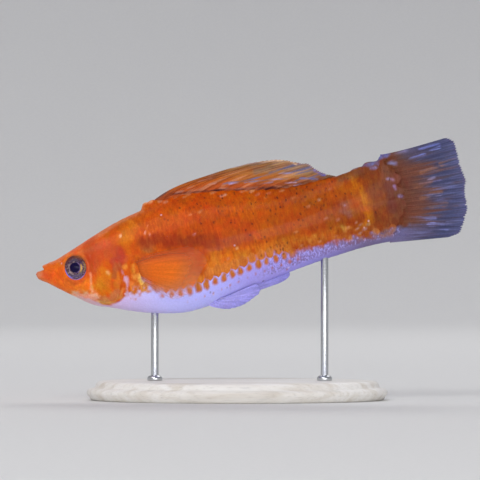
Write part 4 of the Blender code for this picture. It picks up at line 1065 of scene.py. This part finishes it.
def ray_streaks(number, along, seed, rows_each=1.0):
    """Uneven streaks that run along the rays, from -1 to 1."""
    places = np.stack([number * rows_each, along * 3.0, np.zeros_like(along)], -1)
    return soft_noise(places, 1.0, seed) * 0.7 + soft_noise(places * (2.3, 2.0, 1), 1.0, seed + 1) * 0.5


def sail_paint(middle, share, along, crest, number):
    """Rust at the foot to tan at the tips, with dark, tan, pinkish and blue streaks along the rays."""
    colour = strokes(colour_along(along, SAIL_COLOURS), middle, SAIL_WASHES)
    colour = blend(colour, "#6E5244", 0.6 * ease(share, 0.5, 0.95))
    dark = ease(ray_streaks(number, along, 35, 1.2), 0.0, 0.3) * (1 - 0.5 * ease(along, 0.6, 1))
    colour = blend(colour, "#7C3A1E", 0.55 * dark)
    tan = ease(ray_streaks(number, along, 39, 1.3), 0.05, 0.35) * ease(along, 0.35, 0.7)
    colour = blend(colour, "#C49464", 0.45 * tan)
    pinkish = ease(ray_streaks(number, along, 37, 1.5), 0.2, 0.45) * (1 - ease(share, 0.6, 0.95))
    colour = blend(colour, "#CC9074", 0.55 * pinkish * (1 - 0.7 * ease(along, 0.5, 0.9)))
    blue = ease(ray_streaks(number, along, 31, 1.3), 0.2, 0.42) * ease(along, 0.3, 0.5)
    colour = blend(colour, "#66648A", 0.75 * blue * ease(share, 0.05, 0.3))
    light = 0.96 - 0.06 * ease(share, 0.5, 0.9) + 0.08 * ray_streaks(number, along, 33, 2.1)
    ragged = np.clip(0.75 + 0.9 * ray_streaks(number, along, 43, 1.7), 0.25, 1)
    colour = strokes(colour * light[..., None], middle, SAIL_STREAKS, ragged)
    veil = 0.95 + 0.05 * crest - 0.14 * ease(along, 0.75, 1.0) * (1 - crest)
    return colour, veil


sail_foot = [(x, float(back(x) + 0.34 - 0.4 * ease(x, 54, 61))) for x in np.linspace(*SAIL_FOOT, 13)]
sail = fin_blade(
    "sail", sail_foot, SAIL_TIPS, SAIL_RAYS, lambda share, along: 0.35 * np.sin(2 * math.pi * share) * along,
    sail_paint, seed=41, bulge=(1.65, -0.15), rows=72, sink=0.9, into=(0.25, -1), forks=(0.45, 0.8),
    notch=0.26, fray=0.16, swept=0.45)
sail.data.materials.append(fin_finish("amber_fin_resin"))
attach(sail, "root")
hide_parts("dorsal_fin")

# Tail fin
# A broad fan of branching rays, here almost closed, with its upper corner drawn out. Its resin is tinted
# slate blue, and the paint of the tail stalk runs out over the rays in brown streaks.
TAIL_RAYS = 24
TAIL_ROOT = [(76.1, 9.5), (76.96, 4.9), (77.66, 1.2), (77.26, -1.7), (76.16, -5.0), (74.3, -8.95)]
TAIL_TIPS = [
    (88.5, 10.0), (89.8, 9.2), (90.2, 6.9), (90.4, 2.8), (90.7, 0.6), (90.1, -1.3), (89.9, -5.0),
    (88.5, -7.9), (87.4, -9.6), (85.2, -10.2),
]
TAIL_COLOURS = [(0, "#64392C"), (0.2, "#54403F"), (0.45, "#48455F"), (0.75, "#3E4160"), (1, "#4C4E72")]
TAIL_MARKINGS = [
    ([(76.5, 9.0), (79.5, 9.3)], 0.25, 0.8, "#77759C", 0.9),
    ([(75.0, 2.9), (75.6, 0.2), (75.2, -2.4)], 0.5, 1.2, "#6A3022", 0.85),
    ([(76.6, 4.7), (78.5, 5.2)], 0.4, 1.3, "#704434", 0.7),
    ([(77.5, -7.2), (80.5, -7.6)], 0.5, 1.3, "#625C80", 0.9),
    ([(82.8, 8.9), (84.9, 9.1), (86.8, 9.0)], 0.12, 0.42, "#8894EC", 1.0),
    ([(84.8, 8.3), (86.9, 8.3)], 0.05, 0.4, "#94A2F4", 1.0),
    ([(80.4, 7.3), (83.6, 7.6)], 0.05, 0.4, "#7A84C8", 0.9),
    ([(81.2, -6.6), (86.1, -7.6)], 0.05, 0.36, "#94A4F0", 1.0),
    ([(81.5, -7.2), (85.0, -8.6)], 0.05, 0.4, "#7E88C8", 0.85),
    ([(77.1, -4.3), (81.5, -5.4)], 0.05, 0.4, "#7470A0", 0.75),
    ([(81.3, 1.9), (85.5, 1.8)], 0.05, 0.36, "#8078AC", 0.75),
    ([(82.4, -1.0), (84.9, -1.1)], 0.06, 0.4, "#868CC4", 0.9),
    ([(83.3, 2.2), (84.4, 2.5)], 0.05, 0.5, "#9A9CD0", 0.8),
    ([(80.8, -5.4), (82.8, -5.7)], 0.05, 0.6, "#7C82B8", 0.7),
    ([(84.0, 0.6), (88.0, 0.4)], 0.05, 0.5, "#7478AC", 0.7),
    ([(86.5, 5.0), (89.5, 5.7)], 0.3, 0.45, "#9C6848", 0.8),
    ([(86.6, 4.4), (89.4, 4.9)], 0.15, 0.4, "#A07050", 0.6),
    ([(82.0, 4.0), (84.4, 4.3), (86.4, 3.7)], 0.18, 0.4, "#96644A", 0.75),
    ([(80.4, 1.6), (83.6, 1.7)], 0.25, 0.5, "#8E5A40", 0.7),
    ([(81.0, -1.0), (85.2, -0.7)], 0.22, 0.5, "#8C5C44", 0.7),
    ([(82.5, -3.3), (86.0, -3.4)], 0.2, 0.4, "#8A5E4A", 0.65),
]


def tail_paint(middle, share, along, crest, number):
    """Brown streaks that run out over slate blue, with a few bright blue ones towards the edge."""
    colour = colour_along(along, TAIL_COLOURS)
    streak = ray_streaks(number, along, 51, 1.4)
    central = ease(share, 0.08, 0.22) * (1 - ease(share, 0.72, 0.9))
    brown = 0.9 * (1 - ease(along - 0.38 * streak, 0.25, 0.85)) * (0.2 + 0.8 * central)
    rust = 0.5 + 0.32 * np.clip(ray_streaks(number, along, 59, 1.9) * 1.5, -1, 1)[..., None]
    rusty = srgb("#5E3A30") * (1 - rust) + srgb("#84482A") * rust
    colour = colour + (rusty - colour) * brown[..., None]
    beside = (1 - ease(share, 0.02, 0.12) * (1 - ease(share, 0.78, 0.9))) * (1 - ease(along, 0.3, 0.6))
    colour = blend(colour, "#5A5674", 0.85 * beside)
    streaked = np.clip(0.45 + 1.3 * ray_streaks(number, along, 57, 3.2), 0.0, 1)
    colour = strokes(colour, middle, TAIL_MARKINGS, streaked)
    bright = ease(ray_streaks(number, along, 53, 2.2), 0.25, 0.8) * ease(along, 0.15, 0.5)
    colour = blend(colour, "#7C84BC", 0.37 * bright)
    colour = blend(colour, "#6C6C98", 0.22 * crest * ease(along, 0.3, 0.7))
    colour = colour * (1 + 0.1 * ray_streaks(number, along, 55, 3.0))[..., None]
    # The paint of the stalk runs out over the roots of the rays.
    pale = 0.9 * ease(below_edge(middle), -0.4, 0.8)[..., None]
    body = flank_paint(middle) * (1 - pale) + colour_along(middle[..., 0], BELLY_COLOURS) * pale
    colour = colour + (body - colour) * (1 - ease(along + 0.1 * streak, 0.1, 0.4))[..., None]
    veil = 0.94 + 0.06 * crest - 0.16 * ease(along, 0.6, 1.0) * (1 - crest)
    return colour, veil


tail = fin_blade(
    "tail_fin", TAIL_ROOT, TAIL_TIPS, TAIL_RAYS,
    lambda share, along: 0.5 * np.sin(3 * math.pi * share) * along**2, tail_paint,
    seed=42, bulge=(-0.25, 0.0), rows=64, sink=1.6, notch=0.3, fray=0.22, pleat=0.14)
tail.data.materials.append(fin_finish("slate_fin_resin"))
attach(tail, "root")
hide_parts("caudal_fin")

# Breast fins
# A soft, clear fan on each side, rooted in a fleshy lobe behind the gill opening and laid back along the
# flank. The resin is tinted orange at its core and left pinkish at its thin edge.
BREAST_RAYS = 13
BREAST_ROOT = [(20.75, -2.0), (20.85, -3.4), (21.35, -4.8)]
BREAST_TIPS = [
    (31.9, -0.75), (33.7, -2.0), (34.9, -3.4), (35.1, -4.5), (34.3, -5.7), (32.9, -7.2), (32.0, -8.5),
    (30.6, -10.0), (28.6, -10.75), (26.6, -10.7),
]
BREAST_COLOURS = [
    (0, "#A85424"), (0.12, "#C45C1C"), (0.3, "#DC6410"), (0.6, "#DE6A14"), (0.82, "#E07C40"), (1, "#E49470"),
]


def breast_paint(middle, share, along, crest, number):
    """Orange at the core, redder along the upper edge, pinkish along the lower, and clear at the rim."""
    colour = colour_along(along, BREAST_COLOURS)
    colour = blend(colour, "#BE5230", 0.75 * (1 - ease(share - 0.2 * along, -0.05, 0.32)))
    colour = blend(colour, "#D8A094", 0.7 * ease(share, 0.55, 1.0) * ease(along, 0.2, 0.7))
    colour = colour * (1 + 0.06 * ray_streaks(number, along, 61, 2.0))[..., None]
    colour = blend(colour, "#E88848", 0.06 * crest)
    rim = np.maximum(1 - ease(share, 0.0, 0.22), ease(share, 0.6, 1.0))
    margin = 1 - (1 - ease(along, 0.55, 1.0)) * (1 - 0.95 * rim)
    veil = 0.9 + 0.04 * crest - 0.84 * margin * (1 - 0.08 * crest)
    return colour, veil


# How far the lobe's skin lies from the middle of the body at the fin's root: the flank's half width there,
# a little less than at its widest, and the height of the lobe.
flank_at_root = float(half_width(20.85)) * (1 - (0.7 / 9) ** 2.2) ** (1 / 2.2) + 0.8
breast_resin = fin_finish("orange_fin_resin")
for side, mirror in (("left", -1), ("right", 1)):

    def laid_back(share, along):
        """How far out the fin stands: it leaves the lobe, then lies a little off the flank."""
        out = flank_at_root - 1.2 * (1 - ease(along, 0, 0.14)) + along + 0.3 * along**2
        return mirror * (out - 1.1 * along * np.maximum(share - 0.4, 0))

    fin = fin_blade(
        f"breast_fin_{side}", BREAST_ROOT, BREAST_TIPS, BREAST_RAYS, laid_back, breast_paint, seed=43,
        bulge=(0.75, -0.95), rows=48, sink=0.9, ray=0.03, membrane=0.035, notch=0.1, fray=0.08,
        pleat=0.012 * mirror, joint=0.5)
    fin.data.materials.append(breast_resin)
    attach(fin, "root")
    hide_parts(f"pectoral_fin_{side}")

# Belly fins and the male's anal fin
# Two small fins folded back under the belly, and between their tips the anal fin, whose front rays are
# grown into a stiff rod. All are cast in milky resin with a lilac tint.
SMALL_FIN_RAYS = 6
BELLY_FIN_ROOT = [(37.4, -12.6), (36.0, -13.2), (34.4, -13.9)]
BELLY_FIN_TIPS = [
    (43.9, -11.2), (44.6, -12.3), (44.2, -13.3), (43.2, -13.9), (42.2, -14.33), (41.0, -14.8),
    (39.8, -15.08), (38.5, -15.2), (37.2, -15.15), (36.0, -14.75),
]
ANAL_FIN_ROOT = [(41.0, -11.85), (39.4, -12.5), (37.0, -13.2)]
ANAL_FIN_TIPS = [(51.1, -10.3), (51.15, -10.9), (50.5, -11.55), (49.2, -12.05)]
MILKY_COLOURS = [(0, "#BEB6F4"), (0.5, "#ACA4E4"), (1, "#9A94DA")]


def milky_paint(middle, share, along, crest, number):
    """Lilac, paler at the root and darker between the rays, where shade in the folds is painted in."""
    colour = colour_along(along, MILKY_COLOURS)
    colour = colour * (1 + 0.08 * ray_streaks(number, along, 71, 2.0))[..., None]
    veil = 0.95 + 0.05 * crest - 0.2 * ease(along, 0.7, 1) * (1 - crest)
    # Between the rays the lilac is darker: painted shade in the folds of the pleated fin.
    return blend(colour, "#8C88D4", 0.3 * (1 - crest)), veil


milky_resin = fin_finish("milky_fin_resin")
for side, mirror in (("left", -1), ("right", 1)):
    fin = fin_blade(
        f"belly_fin_{side}", BELLY_FIN_ROOT, BELLY_FIN_TIPS, SMALL_FIN_RAYS,
        lambda share, along: mirror * (2.3 - 0.9 * share - 0.3 * along * (1 - share)), milky_paint, seed=44,
        bulge=(0.0, -0.2), rows=40, sink=1.2, ray=0.13, membrane=0.05, notch=0.15, fray=0.1,
        pleat=0.07 * mirror, joint=0.5)
    fin.data.materials.append(milky_resin)
    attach(fin, "root")
    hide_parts(f"pelvic_fin_{side}")
anal = fin_blade(
    "anal_fin_rod", ANAL_FIN_ROOT, ANAL_FIN_TIPS, SMALL_FIN_RAYS, lambda share, along: 0 * along, milky_paint,
    seed=45, bulge=(0.0, -0.3), sink=1.2, forks=(2.0, 3.0), ray=0.2, membrane=0.09, notch=0.06, fray=0.05,
    pleat=0.05, joint=0.45)
anal.data.materials.append(milky_resin)
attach(anal, "root")
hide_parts("anal_fin")

# Stand
# An oval plaque of limed ash with a turned edge, and two polished steel rods let into it, each with a
# small collar. The rods end in the belly of the fish and hold it nose down, as it swims.
# Outline of the plaque from its underside to its top: share of its half width, and height.
BASE_EDGE = [
    (0.0, 0.0), (0.955, 0.0), (0.975, 0.2), (0.985, 0.7), (1.0, 1.3), (1.0, 1.9), (0.985, 2.35),
    (0.955, 2.55), (0.945, 2.75), (0.94, 3.3), (0.93, 3.7), (0.91, 3.92), (0.88, 4.0), (0.0, 4.0),
]
BASE_SIDES = 160
ROD_SIDES = 40
COLLAR_RADIUS = 1.55
COLLAR_HEIGHT = 1.1
# How far a rod runs on past the end of its solid, into the belly.
ROD_INTO_BELLY = 0.9


def turned(name, middle, radii, outline, sides):
    """A solid turned about an upright axis, or drawn out to an oval, from an outline of share and height."""
    turn = np.linspace(0, 2 * math.pi, sides, endpoint=False)
    share, height = np.array(outline).T[:, :, None]
    rings = np.stack([
        middle[0] + radii[0] * share * np.cos(turn), middle[1] + radii[1] * share * np.sin(turn),
        middle[2] + height + 0 * turn], -1)
    points = np.vstack([rings[0, :1], rings[1:-1].reshape(-1, 3), rings[-1, :1]])
    index = np.arange(len(points) - 2).reshape(-1, sides) + 1
    faces = [face[::-1] for face in ring_faces(index, start=0, end=len(points) - 1)]
    made = new_object(name, points * MM, faces)
    made.data.set_sharp_from_angle(angle=math.radians(50))
    return made


def ash():
    """Limed ash: nearly white, with the grain showing faintly through, under a dull shine."""
    material, tree, shader = new_material("limed_ash")
    place = add(tree, "TexCoord").outputs["Object"]
    # Growth rings about 1.6 mm apart across the plaque, drawn out along it.
    drawn = add(tree, "Mapping", {"Vector": place, "Scale": (40.0, 620.0, 300.0)})
    rings = add(tree, "TexNoise", {"Vector": drawn, "Scale": 1.0, "Detail": 5.0, "Distortion": 0.7})
    colour = add(tree, "ValToRGB", [rings], stops=[
        (0.3, "#D2CABF"), (0.5, "#E4E0DA"), (0.62, "#EAE7E3"), (0.75, "#DAD4CB")])
    fine = add(tree, "Mapping", {"Vector": place, "Scale": (260.0, 5200.0, 5200.0)})
    pores = add(tree, "TexNoise", {"Vector": fine, "Scale": 1.0, "Detail": 3.0})
    pore = add(tree, "MapRange", [pores, 0.3, 0.45, 0.84, 1.0])
    fill(tree, shader, {
        "Base Color": add(tree, "MixRGB", [1.0, colour, pore], blend_type="MULTIPLY"),
        "Roughness": add(tree, "MapRange", [pores, 0.0, 1.0, 0.55, 0.32]),
        "Normal": add(tree, "Bump", {"Height": pore, "Strength": 0.4, "Distance": 0.05 * MM}),
        "Specular IOR Level": 0.4})
    return material


def steel():
    """Polished steel: bright, with hair-fine marks left round it by the polishing cloth."""
    material, tree, shader = new_material("polished_steel")
    # Polishing marks 0.08 mm apart up the rod.
    place = add(tree, "TexCoord").outputs["Object"]
    fine = add(tree, "Mapping", {"Vector": place, "Scale": (300.0, 300.0, 12500.0)})
    marks = add(tree, "TexNoise", {"Vector": fine, "Scale": 1.0, "Detail": 2.0})
    fill(tree, shader, {
        "Base Color": add(tree, "MixRGB", [marks, "#AEB1B5", "#D2D4D6"]),
        "Roughness": add(tree, "MapRange", [marks, 0.0, 1.0, 0.16, 0.32]),
        "Normal": add(tree, "Bump", {"Height": marks, "Strength": 0.15, "Distance": 0.01 * MM}),
        "Metallic": 1.0})
    return material


base_low, base_high = (np.array(corner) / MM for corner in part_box("stand_base"))
base_middle = (base_low + base_high) / 2
base_foot = (base_middle[0], base_middle[1], base_low[2])
plaque = turned("plaque", base_foot, (base_high - base_low)[:2] / 2, BASE_EDGE, BASE_SIDES)
plaque.data.materials.append(ash())
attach(plaque, "root")
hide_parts("stand_base")
rod_steel = steel()
for end in ("front", "rear"):
    low, high = (np.array(corner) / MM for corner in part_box(f"stand_rod_{end}"))
    middle = (low + high) / 2
    radius = (high - low)[0] / 2
    tall = high[2] - low[2] + ROD_INTO_BELLY
    collar = base_high[2] - low[2]
    collar_top = collar + COLLAR_HEIGHT
    wide = COLLAR_RADIUS / radius
    rod = turned(f"rod_{end}", (middle[0], middle[1], low[2]), (radius, radius), [
        (0.0, 0.0), (1.0, 0.0), (1.0, collar), (wide * 0.97, collar), (wide, collar + 0.08),
        (wide, collar + 0.55), (wide * 0.93, collar + 0.8), (wide * 0.75, collar_top - 0.1),
        (1.12, collar_top), (1.0, collar_top + 0.05), (1.0, tall - 0.25), (0.9, tall - 0.08), (0.7, tall),
        (0.0, tall)], ROD_SIDES)
    rod.data.materials.append(rod_steel)
    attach(rod, "root")
    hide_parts(f"stand_rod_{end}")

# Studio
# A plain pale floor that sweeps up all round into a backdrop, three soft lamps and a low panel, and the
# camera level with the fish, square to its left side, as in the photograph.
# Radius of the flat floor, of the bend round it, and the height of the wall that it ends in.
FLOOR_RADIUS = 620.0
SWEEP = 420.0
WALL = 1500.0
FLOOR_COLOUR = "#D9D8D6"
CAMERA_DISTANCE = 687.5
CAMERA_LENS = 250.0
# The middle of the picture at the fish: along it and above the floor.
CAMERA_AT = (-2.43, 33.0)


def sweep(name):
    """A round floor whose rim bends up into a wall."""
    bend = np.linspace(0, math.pi / 2, 24)
    outline = [(FLOOR_RADIUS * 0.5, 0.0)]
    outline += [(FLOOR_RADIUS + SWEEP * math.sin(a), SWEEP * (1 - math.cos(a))) for a in bend]
    outline.append((FLOOR_RADIUS + SWEEP, WALL))
    turn = np.linspace(0, 2 * math.pi, 96, endpoint=False)
    rings = [(r * math.cos(a), r * math.sin(a), z) for r, z in outline for a in turn]
    index = np.arange(len(rings)).reshape(-1, len(turn)) + 1
    return new_object(name, np.array([(0.0, 0.0, 0.0)] + rings) * MM, ring_faces(index, start=0))


def backdrop_paper():
    """Matt backdrop paper: pale and even, with the faintest tooth."""
    material, tree, shader = new_material("matt_backdrop_paper")
    place = add(tree, "TexCoord").outputs["Object"]
    tooth = add(tree, "TexNoise", {"Vector": place, "Scale": 900.0, "Detail": 2.0})
    fill(tree, shader, {
        "Base Color": add(tree, "MixRGB", [tooth, FLOOR_COLOUR, "#DEDDDB"]), "Roughness": 0.9,
        "Specular IOR Level": 0.1})
    return material


floor = sweep("studio_floor")
floor.data.materials.append(backdrop_paper())


def soft_lamp(name, place, aim, size, power):
    """A soft rectangle of light, turned towards its aim and out of the camera's sight."""
    lamp = bpy.data.lights.new(name, "AREA")
    lamp.shape = "RECTANGLE"
    lamp.size, lamp.size_y = size
    lamp.energy = power
    made = bpy.data.objects.new(name, lamp)
    made.visible_camera = False
    bpy.context.scene.collection.objects.link(made)
    made.location = place
    way = np.array(aim) - np.array(place)
    made.rotation_mode = "QUATERNION"
    made.rotation_quaternion = Vector(way).to_track_quat("-Z", "Y")
    return made


soft_lamp("key_lamp", (-0.4, -0.75, 0.95), (0, 0, 0.03), (0.9, 0.7), 6.8)
soft_lamp("fill_lamp", (0.1, -0.85, 0.12), (0, 0, 0.03), (1.1, 0.22), 5.0)
soft_lamp("back_lamp", (0.1, 0.5, 0.6), (0, 0, 0.03), (0.6, 0.3), 1.8)
# A small cool panel on the floor before the stand lights the belly from below.
low_panel = soft_lamp("low_panel", (0.0, -0.065, 0.002), (0, -0.065, 0.04), (0.18, 0.05), 0.04)
low_panel.data.color = linear("#C4CCFF")
world = bpy.data.worlds.new("studio_air")
bpy.context.scene.world = world
world.use_nodes = True
world.node_tree.nodes["Background"].inputs["Color"].default_value = (*linear("#D8E0FC"), 1)
world.node_tree.nodes["Background"].inputs["Strength"].default_value = 0.4
camera_data = bpy.data.cameras.new("camera")
camera_data.lens = CAMERA_LENS
camera_data.sensor_width = 36.0
camera_data.clip_start = 0.01
camera_data.clip_end = 10.0
camera = bpy.data.objects.new("camera", camera_data)
bpy.context.scene.collection.objects.link(camera)
camera.location = (CAMERA_AT[0] * MM, -CAMERA_DISTANCE * MM, CAMERA_AT[1] * MM)
camera.rotation_euler = (math.pi / 2, 0, 0)
bpy.context.scene.camera = camera
bpy.context.scene.view_settings.view_transform = "Standard"
